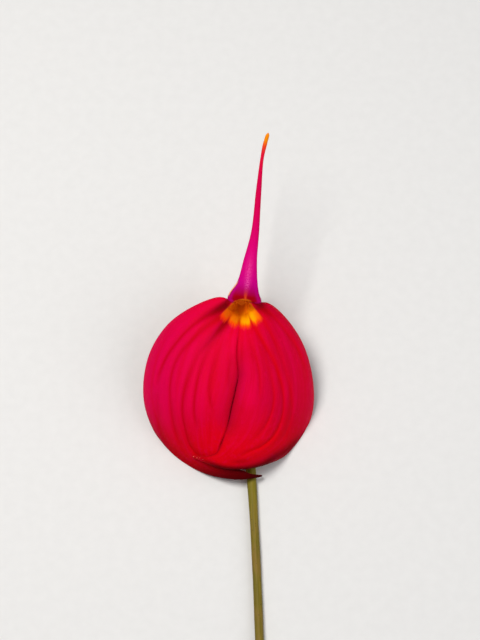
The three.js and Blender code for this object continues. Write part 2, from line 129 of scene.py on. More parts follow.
# %% A smooth line
class Line:
    """A smooth line through points of any dimension."""

    def __init__(self, points, fine=64):
        points = np.array(points, float)
        around = np.vstack([2 * points[0] - points[1], points, 2 * points[-1] - points[-2]])
        gaps = np.linalg.norm(np.diff(around, axis=0), axis=1) ** 0.5
        t = np.linspace(0, 1, fine, endpoint=False)[:, None]
        parts = []
        for i in range(len(points) - 1):
            before, start, end, after = around[i : i + 4]
            g0, g1, g2 = gaps[i : i + 3]
            out = g1 * ((start - before) / g0 - (end - before) / (g0 + g1) + (end - start) / g1)
            into = g1 * ((end - start) / g1 - (after - start) / (g1 + g2) + (after - end) / g2)
            cubic = 2 * (start - end) + out + into
            parts.append(start + out * t + (3 * (end - start) - 2 * out - into) * t**2 + cubic * t**3)
        self.points = np.vstack([*parts, points[-1:]])
        self.steps = np.linspace(0, 1, len(self.points))
        travel = np.linalg.norm(np.diff(self.points, axis=0), axis=1).cumsum()
        self.travel = np.concatenate([[0], travel]) / travel[-1]

    def by_step(self, t):
        """Places on the line, where t goes evenly from one given point to the next."""
        return np.stack([np.interp(t, self.steps, c) for c in self.points.T], axis=-1)

    def by_length(self, t):
        """Places on the line, where t goes evenly along its length."""
        return np.stack([np.interp(t, self.travel, c) for c in self.points.T], axis=-1)


tail_line = Line([place[:3] for place in DORSAL]).points
tail_length = np.linalg.norm(np.diff(tail_line, axis=0), axis=1).sum()
print("the dorsal sepal is", round(tail_length, 1), "mm long from the mouth to its tip")


# %% From the flower's own frame to the surface
def laid(x, u, n):
    """Turns points of the flower's own frame into the frame of the surface, in millimetres."""
    y = u * math.cos(FACE_TILT) - n * math.sin(FACE_TILT)
    z = u * math.sin(FACE_TILT) + n * math.cos(FACE_TILT) + FACE_HEIGHT
    return np.stack([x + 0 * y, y, z], axis=-1)


def face_point(x, u, n=0.0):
    """A place given in the flower's own frame, in metres."""
    return Vector((laid(np.array(x), np.array(u), np.array(n)) + SHIFT) * MM)


def settled(points):
    """Lets a thin sheet ease onto the surface instead of passing through it."""
    lowest = SOLID_SEPAL / 2 - 2.2 * FLAT
    above = points[:, 2] - lowest
    points[:, 2] = lowest + np.maximum(above, 0) + np.maximum(1 - np.abs(above), 0) ** 2 / 4
    return points


# %% [markdown]
# ## The line of the stalk
#
# Tube, ovary, pedicel and scape follow one line: straight back out of the mouth, round under the flower in
# one bend, and away along the surface. Each place on it has a side direction and an outward direction, so
# a round piece is a grid of angle and distance wrapped round the line.

# %% The bend of the stalk
neck_start = laid(np.array(MOUTH_X), np.array(MOUTH_U), np.array(MOUTH_N))
neck_heading = -(math.pi / 2 - FACE_TILT) + MOUTH_RISE
bend_start = neck_start[1:] + NECK_STRAIGHT * np.array([math.cos(neck_heading), math.sin(neck_heading)])
bend_radius = (bend_start[1] - (PEDICEL_RADIUS - FLAT)) / (1 + math.cos(neck_heading))
bend_centre = bend_start + bend_radius * np.array([math.sin(neck_heading), -math.cos(neck_heading)])
bend_end = NECK_STRAIGHT + bend_radius * (math.pi + neck_heading)
print("the stalk bends at radius", round(bend_radius, 2), "mm and lies down after", round(bend_end, 1), "mm")


# %% Places along the stalk
def stalk_height(along):
    """Height of the stalk's middle: it is carried by its bract and its sheath."""
    pedicel, bract = PEDICEL_RADIUS - FLAT, BRACT_RADIUS - FLAT
    scape, sheath = SCAPE_RADIUS - FLAT, SHEATH_RADIUS - FLAT
    bract_end, sheath_end = BRACT_START + BRACT_LENGTH, SHEATH_START + SHEATH_LENGTH
    return (
        pedicel
        + (bract - pedicel) * smooth(bend_end, BRACT_START, along)
        + (scape - bract) * smooth(bract_end - 1, bract_end + 11, along)
        + (sheath - scape) * smooth(SHEATH_START - 22, SHEATH_START, along)
        + (scape - sheath) * smooth(sheath_end, SHEATH_START + 30, along)
    )


def stalk_point(along):
    along = np.asarray(along, float)
    heading = neck_heading - (along - NECK_STRAIGHT) / bend_radius
    run = np.maximum(along - bend_end, 0)
    x = MOUTH_X + 7.0 * (1 - np.exp(-(run**2) / (run + 12) / 60))
    straight_y = neck_start[1] + along * math.cos(neck_heading)
    straight_z = neck_start[2] + along * math.sin(neck_heading)
    bend_y = bend_centre[0] - bend_radius * np.sin(heading)
    bend_z = bend_centre[1] + bend_radius * np.cos(heading)
    places = [along < NECK_STRAIGHT, along < bend_end]
    y = np.select(places, [straight_y, bend_y], bend_centre[0] - run)
    z = np.select(places, [straight_z, bend_z], stalk_height(along))
    return np.stack([x, y, z], axis=-1)


# %% Places beside the stalk's line
def stalk_place(along, across, outward):
    """Points beside the stalk's middle line, in millimetres."""
    step = 0.05
    ahead = stalk_point(along + step) - stalk_point(np.maximum(along - step, 0))
    ahead /= np.linalg.norm(ahead, axis=-1, keepdims=True)
    side = np.array([1.0, 0, 0]) - ahead * ahead[:, :1]
    side /= np.linalg.norm(side, axis=-1, keepdims=True)
    out = np.cross(side, ahead)
    return stalk_point(along) + side * np.asarray(across)[:, None] + out * np.asarray(outward)[:, None]


# %% [markdown]
# ## Shader expressions
#
# Colour is worked out by nodes. Written out, a node graph is long, so one small class wraps an output
# socket and turns `+`, `*` and `1 - mask` into Math nodes. Every other node comes from one method that
# takes its kind, its settings and what goes into its sockets.
#
# Paint goes on in coats, as glazes do: each coat has a mask, which says where and how strongly it lies, and
# a colour of its own. Colours are given as screen values from 0 to 255 and turned into light here.


# %% Sockets that read as numbers
class Value:
    """An output socket of a shader, which maths can be written on."""

    def __init__(self, finish, socket):
        self.finish = finish
        self.socket = socket

    def maths(self, operation, *numbers):
        return self.finish.node("Math", dict(enumerate(numbers)), operation=operation)

    def __add__(self, other):
        return self.maths("ADD", self, other)

    def __sub__(self, other):
        return self.maths("SUBTRACT", self, other)

    def __rsub__(self, other):
        return self.maths("SUBTRACT", other, self)

    def __mul__(self, other):
        return self.maths("MULTIPLY", self, other)

    def __abs__(self):
        return self.maths("ABSOLUTE", self)

    __radd__ = __add__
    __rmul__ = __mul__

    def rise(self, low, high):
        """0 below low, 1 above high, with an easy slope between. With low above high it falls."""
        sockets = {"Value": self, "From Min": low, "From Max": high}
        return self.finish.node("MapRange", sockets, interpolation_type="SMOOTHSTEP")


# %% Colours as light
def tone(colour):
    """A colour as light, from its screen values. A colour that nodes have made stays as it is."""
    if isinstance(colour, Value):
        return colour
    shares = [c / 255 for c in colour]
    linear = [s / 12.92 if s <= 0.04045 else ((s + 0.055) / 1.055) ** 2.4 for s in shares]
    return (*linear, 1.0)


print("mid grey, as light:", round(tone((128, 128, 128))[0], 3))


# %% A material that is written as expressions
class Finish:
    """A material whose nodes are made by expressions."""

    def __init__(self, name):
        self.material = bpy.data.materials.new(name)
        self.material.use_nodes = True
        self.tree = self.material.node_tree
        self.tree.nodes.clear()

    def node(self, kind, sockets, output=0, **settings):
        """Makes a node, sets its settings first, then its sockets, and gives one of its outputs."""
        made = self.tree.nodes.new("ShaderNode" + kind)
        for name, setting in settings.items():
            setattr(made, name, setting)
        for name, value in sockets.items():
            if isinstance(value, Value):
                self.tree.links.new(value.socket, made.inputs[name])
            else:
                made.inputs[name].default_value = value
        return Value(self, made.outputs[output]) if made.outputs else None

    def attribute(self, name):
        return self.node("Attribute", {}, output="Fac", attribute_name=name)

    def place(self, scale=1.0):
        """Object coordinates, in millimetres times scale."""
        coordinates = self.node("TexCoord", {}, output="Object")
        return self.node("Mapping", {"Vector": coordinates, "Scale": [scale / MM] * 3})

    def noise(self, size, detail=2.0, rough=0.5):
        """Soft noise from 0 to 1, whose lumps are about size millimetres."""
        sockets = {"Vector": self.place(1 / size), "Scale": 1.0, "Detail": detail, "Roughness": rough}
        return self.node("TexNoise", sockets)

    def streaks(self, x, y, z=0.0, scale=1.0, detail=2.0, rough=0.5):
        """Noise on places that are written as values, so it can run along a surface's own lines."""
        place = self.node("CombineXYZ", {"X": x, "Y": y, "Z": z})
        return self.node("TexNoise", {"Vector": place, "Scale": scale, "Detail": detail, "Roughness": rough})

    def cells(self, size):
        """Distance to the middle of the nearest cell, for a skin of small round cells."""
        return self.node("TexVoronoi", {"Vector": self.place(1 / size), "Scale": 1.0})

    def blend(self, mask, below, above):
        """One colour over another, by a mask."""
        return self.node("Mix", {0: mask, 6: tone(below), 7: tone(above)}, output=2, data_type="RGBA")

    def coats(self, colour, *coats):
        """Lays coats over a colour. Each coat is a mask and a colour."""
        for mask, coat in coats:
            colour = self.blend(mask, colour, coat)
        return colour

    def shell(self, colour, roughness, height=None, depth=0.0, **constants):
        """Closes the material with one Principled shader and a bump, and gives the material."""
        sockets = {"Base Color": colour, "Roughness": roughness}
        if height is not None:
            bumps = {"Height": height, "Strength": 1.0, "Distance": depth * MM}
            sockets["Normal"] = self.node("Bump", bumps)
        sockets |= {name.replace("_", " "): value for name, value in constants.items()}
        self.node("OutputMaterial", {"Surface": self.node("BsdfPrincipled", sockets)})
        print(self.material.name, "has", len(self.tree.nodes), "nodes")
        return self.material


# %% [markdown]
# ## A piece from a grid
#
# Sheets and stalks alike start as a flat bmesh grid. Its own places, from 0 to 1 both ways, are handed to a
# formula that says where each point goes and what it carries: a few named values, such as how near it is
# to a vein, which the material reads later as attributes. A sheet is thickened afterwards by a copy of
# itself, pushed back along its normals. The solidify operator would give it one thickness all over, but a
# petal thins towards its margin.


# %% A grid moved by a formula
def add_grid(bm, columns, rows, formula, flip=False):
    """Adds a grid whose points go where formula(across, along) says, with the values that it gives."""
    verts = bmesh.ops.create_grid(bm, x_segments=columns, y_segments=rows, size=0.5)["verts"]
    across = np.round([(v.co.x + 0.5) * columns for v in verts]) / columns
    along = np.round([(v.co.y + 0.5) * rows for v in verts]) / rows
    points, values = formula(across, along)
    points = (points + SHIFT) * MM
    for name, value in values.items():
        layer = bm.verts.layers.float[name]
        for v, number in zip(verts, np.broadcast_to(value, across.shape)):
            v[layer] = number
    for v, point in zip(verts, points):
        v.co = point
    if flip:
        bmesh.ops.reverse_faces(bm, faces=list({f for v in verts for f in v.link_faces}))


# %% A sheet made thick
def thicken(bm):
    """Turns a sheet into a thin shell, as thick as its points say, and closes its edges."""
    bm.normal_update()
    thickness = bm.verts.layers.float["thickness"]
    front = bm.verts.layers.float["front"]
    rims = [(e.link_loops[0].vert, e.link_loops[0].link_loop_next.vert) for e in bm.edges if e.is_boundary]
    normals = {v: v.normal.copy() for v in bm.verts}
    copy = bmesh.ops.duplicate(bm, geom=bm.verts[:] + bm.edges[:] + bm.faces[:])
    twin = copy["vert_map"]
    bmesh.ops.reverse_faces(bm, faces=[f for f in copy["geom"] if isinstance(f, bmesh.types.BMFace)])
    for v, normal in normals.items():
        half = v[thickness] * MM / 2
        v[front] = 1.0
        twin[v][front] = 0.0
        twin[v].co = v.co - normal * half
        v.co = v.co + normal * half
    for start, end in rims:
        bm.faces.new((end, start, twin[start], twin[end]))


# %% A finished piece
def finished(name, bm, finish, node):
    """Makes the object, smooths it, gives it its finish and sets it in place of the frame's node."""
    mesh = bpy.data.meshes.new(name)
    for v in bm.verts:
        v.co.z = max(v.co.z, 0.0)
    bm.normal_update()
    bm.to_mesh(mesh)
    bm.free()
    mesh.polygons.foreach_set("use_smooth", [True] * len(mesh.polygons))
    piece = bpy.data.objects.new(name, mesh)
    bpy.context.scene.collection.objects.link(piece)
    mesh.materials.append(finish)
    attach(piece, "root")
    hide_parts(node)
    places = np.array([v.co for v in mesh.vertices]) / MM
    print(name, len(mesh.polygons), "faces, mm:", places.min(0).round(1), places.max(0).round(1))


# %% [markdown]
# ## The sepals
#
# The two lateral sepals bulge towards the viewer and roll back at their rims. Their grids run across from
# the seam to the margin and along from the mouth to the tip, close enough to hold a fine groove. A vein is a
# smooth line through a few places on the face. The skin sinks where it comes near one, and the material
# reads how near, so groove and colour stay together. A sculpted face could look as good, but it couldn't be
# measured or made finer afterwards.

# %% The face of the flower
RIM_DEPTH = 12.0
ROUNDNESS = 0.9
CREASE_DEPTH = 0.55
SEAM_LAP = 0.16
THIN, THICK = 0.3, 0.72
FAN_CENTRE = (0.65, 3.9)
LATERAL_COLUMNS, LATERAL_ROWS = 140, 80
DORSAL_COLUMNS, DORSAL_ROWS = 30, 120
TUBE_COLUMNS, TUBE_ROWS = 2 * LATERAL_COLUMNS + DORSAL_COLUMNS, 52
print("a lateral sepal's grid has", (LATERAL_COLUMNS + 1) * (LATERAL_ROWS + 1), "points")


def face_depth(x, u):
    """How far the face falls back from its foremost point."""
    dx = (x - FACE_CENTRE[0]) / FACE_HALF[0]
    du = (u - FACE_CENTRE[1]) / FACE_HALF[1]
    reach = np.minimum(np.hypot(dx, du), 1.06)
    around = np.degrees(np.arctan2(du, dx))
    rim = RIM_DEPTH - 8.2 * bump(around, -80, 30) + 1.4 * bump(around, -33, 18) - 5.4 * bump(around, 92, 50)
    full = 1 - math.sqrt(1 - ROUNDNESS**2)
    return -rim * (1 - np.sqrt(1 - (ROUNDNESS * reach) ** 2)) / full


def mouth_point(angle):
    """A point of the mouth's rim, by its angle from the right."""
    rise = MOUTH_ALONG * np.sin(angle)
    x = MOUTH_X + MOUTH_ACROSS * np.cos(angle)
    u = MOUTH_U + rise * math.cos(MOUTH_RISE)
    n = MOUTH_N + rise * math.sin(MOUTH_RISE)
    return np.stack([x, u, n], axis=-1)


def fan_values(x, u):
    """Polar places round the point where the veins meet: distance, and turn from straight down."""
    across, down = x - FAN_CENTRE[0], FAN_CENTRE[1] - u
    return {"reach": np.hypot(across, down), "turn": np.arctan2(across, down)}


middle, margin = face_depth(*FACE_CENTRE), face_depth(FACE_CENTRE[0] + FACE_HALF[0], FACE_CENTRE[1])
print("the face falls back", round(middle - margin, 1), "mm from its middle to its right margin")


# %% The veins
# Each vein: how deep the painted shade in its crease is at the mouth, how far that shade reaches, the
# groove's depth near the mouth and further on, and the vein's way in x and u.
LEFT_VEINS = [
    (0.9, 18, 0.9, 0.3, [(-2.2, 0.1), (-7.1, -2.5), (-11.5, -5.0), (-15.8, -8.6), (-21.1, -15.5),
                         (-23.6, -21.6), (-24.2, -26.5)]),
    (0.2, 14, 0.3, 0.24, [(-3.6, -3.2), (-8.4, -5.9), (-13.5, -10.5), (-18.0, -15.9), (-20.1, -22.5),
                          (-19.7, -32.0), (-17.9, -39.3), (-13.9, -44.1)]),
    (0.8, 26, 0.7, 0.16, [(-1.6, -2.6), (-6.2, -8.2), (-9.4, -12.0), (-13.0, -16.6)]),
    (0.0, 9, 0.1, 0.46, [(-9.4, -12.0), (-12.4, -15.6), (-15.6, -23.5), (-16.7, -31.0), (-15.9, -36.5),
                         (-14.4, -41.6), (-12.4, -44.0), (-9.4, -46.0)]),
    (0.0, 9, 0.04, 0.3, [(-6.4, -9.6), (-10.0, -15.4), (-12.6, -24.0), (-13.2, -32.0), (-11.5, -39.6)]),
    (0.0, 9, 0.06, 0.24, [(-3.6, -9.6), (-7.0, -16.5), (-8.9, -24.0), (-8.6, -28.5), (-7.2, -33.5)]),
    (0.0, 9, 0.05, 0.15, [(-2.0, -14.5), (-3.1, -19.4), (-3.1, -26.0)]),
    (0.0, 9, 0.1, 0.16, [(-24.2, -26.0), (-23.7, -33.0), (-23.1, -37.6), (-20.4, -41.8)]),
]
RIGHT_VEINS = [
    (0.0, 9, 0.08, 0.24, [(1.4, -7.6), (3.8, -13.9), (5.6, -20.2), (5.7, -25.0), (5.4, -29.0)]),
    (0.0, 9, 0.06, 0.3, [(4.5, -10.7), (8.1, -18.5), (9.7, -25.5), (9.2, -31.0), (6.8, -36.5), (3.0, -40.5)]),
    (0.0, 9, 0.34, 0.44, [(1.8, -2.6), (4.1, -7.1), (9.4, -16.5), (12.3, -25.4), (12.2, -32.7), (9.4, -39.0),
                          (5.8, -41.8), (1.2, -43.6), (-2.2, -45.6)]),
    (0.0, 9, 0.14, 0.2, [(4.0, -2.4), (9.9, -10.7), (13.5, -21.4), (15.0, -31.5), (12.6, -39.0),
                         (9.6, -42.0)]),
    (0.7, 16, 0.55, 0.2, [(3.2, -0.4), (6.6, -1.6), (9.6, -4.2), (15.1, -10.9), (19.0, -19.0),
                          (19.7, -25.0)]),
]
print(len(LEFT_VEINS), "veins on the left sepal and", len(RIGHT_VEINS), "on the right")


# %% How the veins sink into the face
def groove(gap, width):
    """A groove with a low bank on both sides."""
    return 1.4 * bump(gap, 0, width) - 0.4 * bump(gap, 0, 2.4 * width)


def gap_to(line, x, u):
    """The distance from each place to a line, and how far along the line its nearest point is."""
    gaps = np.hypot(x[:, None] - line[:, 0], u[:, None] - line[:, 1])
    return gaps.min(axis=1), gaps.argmin(axis=1) / (len(line) - 1)


def sunk_veins(x, u, veins):
    """How deep the veins sink at each place, how near a vein it is and how deep the painted shade of the
    creases at the mouth is.
    """
    sink, near, fold_shade = np.zeros_like(x), np.zeros_like(x), np.zeros_like(x)
    reach = fan_values(x, u)["reach"]
    for dark, far, start, end, points in veins:
        gap, share = gap_to(Line(points, fine=30).points, x, u)
        width = 1.15 - 0.5 * smooth(0.1, 0.55, share) + 0.2 * smooth(0.75, 1, share)
        strength = (start + (end - start) * smooth(0.05, 0.5, share)) * (1 - smooth(0.72, 1, share))
        sink += strength * smooth(0, 0.2, share) * groove(gap, width)
        shown = np.minimum(strength / 0.3, 1) * smooth(0, 0.06, share)
        near = np.maximum(near, np.exp(-((gap / (0.2 + 0.65 * width)) ** 2)) * shown)
        fold_shade = np.maximum(fold_shade, dark * bump(gap, 0, 1.5) * (1 - smooth(5.5, far, reach)))
    return sink, near, fold_shade


# %% [markdown]
# ### Seam and shade
#
# Down to `FUSED` the two sepals are one skin with a groove in it. Further down they part, and one edge lies
# over the other. A fleshy red petal is darkest where its margin rolls under and where one tip covers the
# other. Soft light alone leaves such narrow places too bright, so the depth of their shade is worked out
# with the shape and carried to the material as one more value.

# %% The seam between the lateral sepals
def lowness(u):
    """0 on the upper face and 1 near its lower margin."""
    return smooth(-34, -43, u)


def seam_crease(left, beside, along):
    """How deep the face creases at the seam: one groove where it is fused, then one edge over the other."""
    fused = CREASE_DEPTH * groove(beside, 0.5) * smooth(0.02, 0.2, along)
    opened = smooth(FUSED - 0.06, FUSED + 0.1, along)
    if left:
        return fused * (1 - opened) + (0.3 * np.exp(-((beside / 0.3) ** 2)) - 0.25) * opened
    return fused * (1 - opened) + 1.1 * np.exp(-beside / 1.7) * opened * (1 - smooth(0.8, 0.97, along))


def seam_shade(left, beside, along, low):
    """How dark the painted shade along the seam is: a thin dark line in its crease and a softer, wider shade
    beside it.
    """
    cleft = bump(beside, 0, 0.42 + 0.16 * smooth(0.2, 0.4, along))
    cleft *= (
        0.3 + 0.7 * smooth(0.08, 0.2, along)
        - 0.25 * smooth(0.36, 0.46, along) - 0.35 * smooth(0.88, 0.97, along)
    )
    valley = np.exp(-beside / 2.6) * smooth(0.12, 0.36, along)
    valley *= 0.72 * (1 - smooth(0.5, 0.68, along)) if left else 0.9 * (1 - low)
    return np.maximum(cleft, valley) * smooth(0.03, 0.17, along)


print("the sepals are fused for", round(100 * FUSED), "% of their length")


# %% The shade of rolled margins and crossing tips
UNDER_RIGHT_TIP = Line(RIGHT_MARGIN[-4:], fine=30).points


def margin_shades(left, x, u, to_margin, low):
    """How deeply the rolled margins and the crossing tips lie in shade, as a list of separate shades."""
    if left:
        tip = smooth(-15, -9, x)
        under, _ = gap_to(UNDER_RIGHT_TIP, x, u)
        return [
            0.45 * low * tip * bump(to_margin, 0, 1.3),
            (0.34 + 0.12 * low) * smooth(-26, -42, u) * bump(to_margin, 0, 2.8),
            (0.86 + 0.1 * smooth(1, 4, x)) * smooth(-18, 0, x) * smooth(-43.5, -48, u),
            (0.2 + 0.78 * smooth(-0.5, 2, x)) * low * tip * bump(under, 0, 1.2),
        ]
    tip = smooth(-15, -6, x)
    band = bump(to_margin, 0.3 + 1.2 * smooth(6, 11, x), 0.85 + 0.5 * smooth(2, 8, x))
    return [
        (0.85 - 0.28 * smooth(7, 12, x)) * smooth(-37, -42, u) * tip * band,
        0.4 * smooth(-32, -44, u) * smooth(-6, 4, x) * bump(to_margin, 0, 3.0),
        0.28 * low * bump(to_margin, 2.4, 0.6) * bump(x, 0, 2.4),
    ]


# %% A lateral sepal
def lateral_sepal(side):
    """The formula of one lateral sepal: across from the seam, along from the mouth."""
    left = side < 0
    sinus = -math.pi - SINUS if left else SINUS
    corner, foot = mouth_point(sinus), mouth_point(-math.pi / 2)
    margin = Line([corner[:2], *(LEFT_MARGIN if left else RIGHT_MARGIN)])
    seam = Line([foot[:2], *SEAM, *(LEFT_TIP if left else RIGHT_TIP)])

    def formula(across, along):
        along = along - 0.12 * np.sin(2 * math.pi * along) / 6.28
        outer, inner = margin.by_length(along), seam.by_length(along)
        inner[:, 0] -= side * SEAM_LAP / 2 * smooth(FUSED, FUSED + 0.05, along)
        width = np.linalg.norm(outer - inner, axis=1)
        beside = across * width
        rim = mouth_point(-math.pi / 2 + (sinus + math.pi / 2) * across)
        start = foot[:2] + (corner[:2] - foot[:2]) * across[:, None]
        fade = np.exp(-along / 0.07) * (1 - smooth(0.25, 0.5, along))
        flat = inner + (outer - inner) * across[:, None] + (rim[:, :2] - start) * fade[:, None]
        x, u = flat.T
        low = lowness(u)
        away = smooth(0.0, 0.06, along)

        n = face_depth(x, u) + (rim[:, 2] - face_depth(rim[:, 0], rim[:, 1])) * fade
        sink, near, fold_shade = sunk_veins(x, u, LEFT_VEINS if left else RIGHT_VEINS)
        n -= sink * away
        n -= seam_crease(left, beside, along)
        n -= (0.5 + 0.7 * low) * smooth(0.93, 1.0, across) * away
        n += side * TIP_LIFT * smooth(0.5 if left else 0.6, 0.7 if left else 0.8, along)

        to_margin, _ = gap_to(margin.points[::4], x, u)
        edge = np.minimum((1 - across) * width, np.where(along > FUSED, beside, 99))
        edge = np.where(along > 0.97, np.minimum(edge, (1 - along) * 60), edge)
        rounding = np.sqrt(1 - (1 - np.clip(edge / 1.2, 0, 1)) ** 2)
        # Painted shade in the creases at the mouth joins the shade of the margins.
        shades = [*margin_shades(left, x, u, to_margin, low), 0.8 * fold_shade * smooth(0.0, 0.03, along)]
        values = {
            "vein": near * away, "edge": np.exp(-to_margin / 0.8), "lane": side * across, "run": along,
            # The seam's value is painted shade along the seam.
            "seam": seam_shade(left, beside, along, low),
            "shade": 1 - np.prod([1 - s for s in shades], axis=0),
            "thickness": THIN + (THICK - THIN) * rounding, **fan_values(x, u),
        }
        return settled(laid(x, u, n)), values

    return formula


# %% [markdown]
# ### The dorsal sepal
#
# The third sepal stands behind the mouth as a short skirt and draws out into a round tail. A bevelled curve
# would make the tail, but the skirt has to meet the mouth's rim point for point, so this is one more grid:
# across is its width, and along runs from the mouth to the tip, with its rows closest at the foot.

# %% The dorsal sepal
def dorsal_sepal(across, along):
    """A broad skirt that draws out into a long round tail; across runs from its right edge to its left."""
    t = along**1.15
    q = 2 * across - 1
    line, widths = Line([d[:3] for d in DORSAL]), Line([(d[0], d[1], d[3]) for d in DORSAL])
    middle = line.by_step(t)
    half = widths.by_step(t)[:, 2] * np.sqrt(1 - 0.85 * smooth(0.96, 1, t) ** 2)
    ahead = (line.by_step(t + 0.002) - line.by_step(t - 0.002))[:, :2]
    ahead /= np.linalg.norm(ahead, axis=1, keepdims=True)
    x = middle[:, 0] - q * half * ahead[:, 1]
    u = middle[:, 1] + q * half * (ahead[:, 0] * 0.5 + SKIRT_LEAN * np.exp(-t / 0.1))
    u -= SKIRT_DROOP * q**2 * np.exp(-t / 0.03)
    channel = 0.12 * np.exp(-((q * half / 0.6) ** 2)) * smooth(0.01, 0.06, t) * (1 - smooth(0.3, 0.5, t))
    n = middle[:, 2] - 0.32 * half * q**2 - channel
    rim = mouth_point(math.pi / 2 + q * (math.pi / 2 - SINUS))
    fade = (1 - smooth(0, 0.02, t))[:, None]
    place = np.stack([x, u, n], axis=-1)
    place = place + (rim - place) * fade
    stout = 0.62 + 0.5 * smooth(0.15, 0.45, t) - 0.35 * smooth(0.6, 0.8, t) + 0.3 * smooth(0.9, 0.96, t)
    round_off = np.sqrt(1 - (0.97 * q) ** 2) * np.sqrt(1 - smooth(0.97, 1.0, t) * 0.9)
    flat_base = 1 - smooth(0.1, 0.4, t)
    from_stripe = q * half + 0.3 * (1 - smooth(0.1, 0.3, t))
    values = {
        "vein": np.exp(-((from_stripe / (0.4 + 0.6 * smooth(0.1, 0.25, t))) ** 2)),
        "edge": np.exp(-(1 - np.abs(q)) * half / 0.8) * np.sign(q), "dorsal": smooth(0, 0.012, t),
        "tail": t, "lane": q, "run": t,
        "thickness": stout * (round_off + (1 - round_off) * 0.5 * flat_base), **fan_values(x, u),
    }
    return laid(place[:, 0], place[:, 1], place[:, 2]), values


# %% [markdown]
# ### The tube
#
# The tube's grid shares its first row with the face, point for point. So that no edge shows round the mouth,
# the wall sets off in the direction in which the face dips into the mouth and swings into the tube within a
# few millimetres: a Hermite curve, which is given by two places and the directions at them.

# %% How the skin dips into the mouth
SOFTENING = np.hanning(19) / np.hanning(19).sum()


def ring_angle(across):
    """The angle round the mouth for a place across the tube's grid, from the left sinus past the foot."""
    lateral = LATERAL_COLUMNS / TUBE_COLUMNS
    turns = [-math.pi - SINUS, -math.pi / 2, SINUS, math.pi - SINUS]
    return np.interp(across, [0, lateral, 2 * lateral, 1], turns)


def mouth_dips():
    """The direction in which the skin dips into the mouth, square to its rim, for every column."""
    share = np.linspace(0, 1, LATERAL_COLUMNS + 1)
    dips = []
    for side, across in ((-1, share[::-1]), (1, share[1:])):
        first, second = (lateral_sepal(side)(across, np.full_like(across, t))[0] for t in (0.0, 0.006))
        dips.append(first - second)
    roof = stalk_point(0.2) - stalk_point(0.0)
    dips = np.vstack([*dips, np.tile(roof, (DORSAL_COLUMNS, 1))])
    ring = laid(*mouth_point(ring_angle(np.linspace(0, 1, TUBE_COLUMNS + 1))).T)
    along_rim = np.gradient(ring, axis=0)
    along_rim /= np.linalg.norm(along_rim, axis=1, keepdims=True)
    dips -= along_rim * (dips * along_rim).sum(axis=1, keepdims=True)
    dips /= np.linalg.norm(dips, axis=1, keepdims=True)
    wide = len(SOFTENING)
    half = wide // 2
    ringed = np.vstack([dips[-half - 1 : -1], dips, dips[1 : half + 1]])
    return np.array([(ringed[i : i + wide] * SOFTENING[:, None]).sum(axis=0) for i in range(len(dips))])


# %% The tube
THROAT_BLEND = 3.2
TUBE_VEINS, TUBE_WALL = 9, 0.7
print("the tube is", TUBE_LENGTH, "mm long, with a wall of", TUBE_WALL, "mm")


def tube(across, along):
    """The sepals' tube: across runs once round the mouth from the left sinus, along runs inwards."""
    angle = ring_angle(across)
    depth = (TUBE_LENGTH + 0.5) * along**1.4

    def wall(depth):
        share = depth / TUBE_LENGTH
        chin = CHIN * bump(share, 0.8, 0.16) * np.maximum(0, -np.sin(angle)) ** 1.5
        rounded = THROAT_RADIUS + (TUBE_RADIUS - THROAT_RADIUS) * smooth(2, 9, depth)
        rounded += (TUBE_END_RADIUS - TUBE_RADIUS) * smooth(0.78, 1, share) ** 1.3
        rounded -= 0.3 * smooth(0.96, 1.03, share)
        ridges = 0.07 * np.cos(TUBE_VEINS * (angle + math.pi / 2))
        rounded += ridges * smooth(1, 5, depth) * (1 - smooth(0.85, 1, share))
        return stalk_place(depth, rounded * np.cos(angle), (rounded + chin) * np.sin(angle))

    mouth = laid(*mouth_point(angle).T)
    dips = mouth_dips()[np.round(across * TUBE_COLUMNS).astype(int)]
    joint = np.full_like(depth, THROAT_BLEND)
    inner, ahead = wall(joint), (wall(joint + 0.1) - wall(joint)) / 0.1
    reach = np.linalg.norm(inner - mouth, axis=1, keepdims=True)
    t = np.minimum(depth / THROAT_BLEND, 1)[:, None]
    curve = mouth + dips * reach * t + (3 * (inner - mouth) - (2 * dips + ahead) * reach) * t**2
    curve += (2 * (mouth - inner) + (dips + ahead) * reach) * t**3
    rim_x, rim_u, _ = mouth_point(angle).T
    values = {
        "vein": 0.5 - 0.5 * np.cos(TUBE_VEINS * (angle + math.pi / 2)), "depth": depth,
        "thickness": TUBE_WALL, **fan_values(rim_x, rim_u),
    }
    return np.where(t < 1, curve, wall(depth)), values


# %% [markdown]
# ### The colours of the sepals
#
# The face is a saturated crimson, more magenta towards its left margin and more scarlet round the veins in
# the middle. A fan of orange comes out of the mouth, cut into rays by red veins. The dorsal sepal is purple
# and runs through red to an orange tip. The backs are salmon, and the tube is yellow to orange. One material
# serves both sides: the shell carries which side a point is on.
#
# All masks are written in a few values. Some come with the mesh: how near a vein or an edge is, how far a
# place is from the mouth and in which direction, how far along the tail or down the tube. The others are
# x and u, worked out from the place itself, and noise that is drawn out along the veins.

# %% What the sepals' masks are written in
SEPAL_VALUES = (
    "thickness", "front", "vein", "edge", "reach", "turn", "tail", "depth", "seam", "shade", "dorsal", "bead",
    "lane", "run",
)


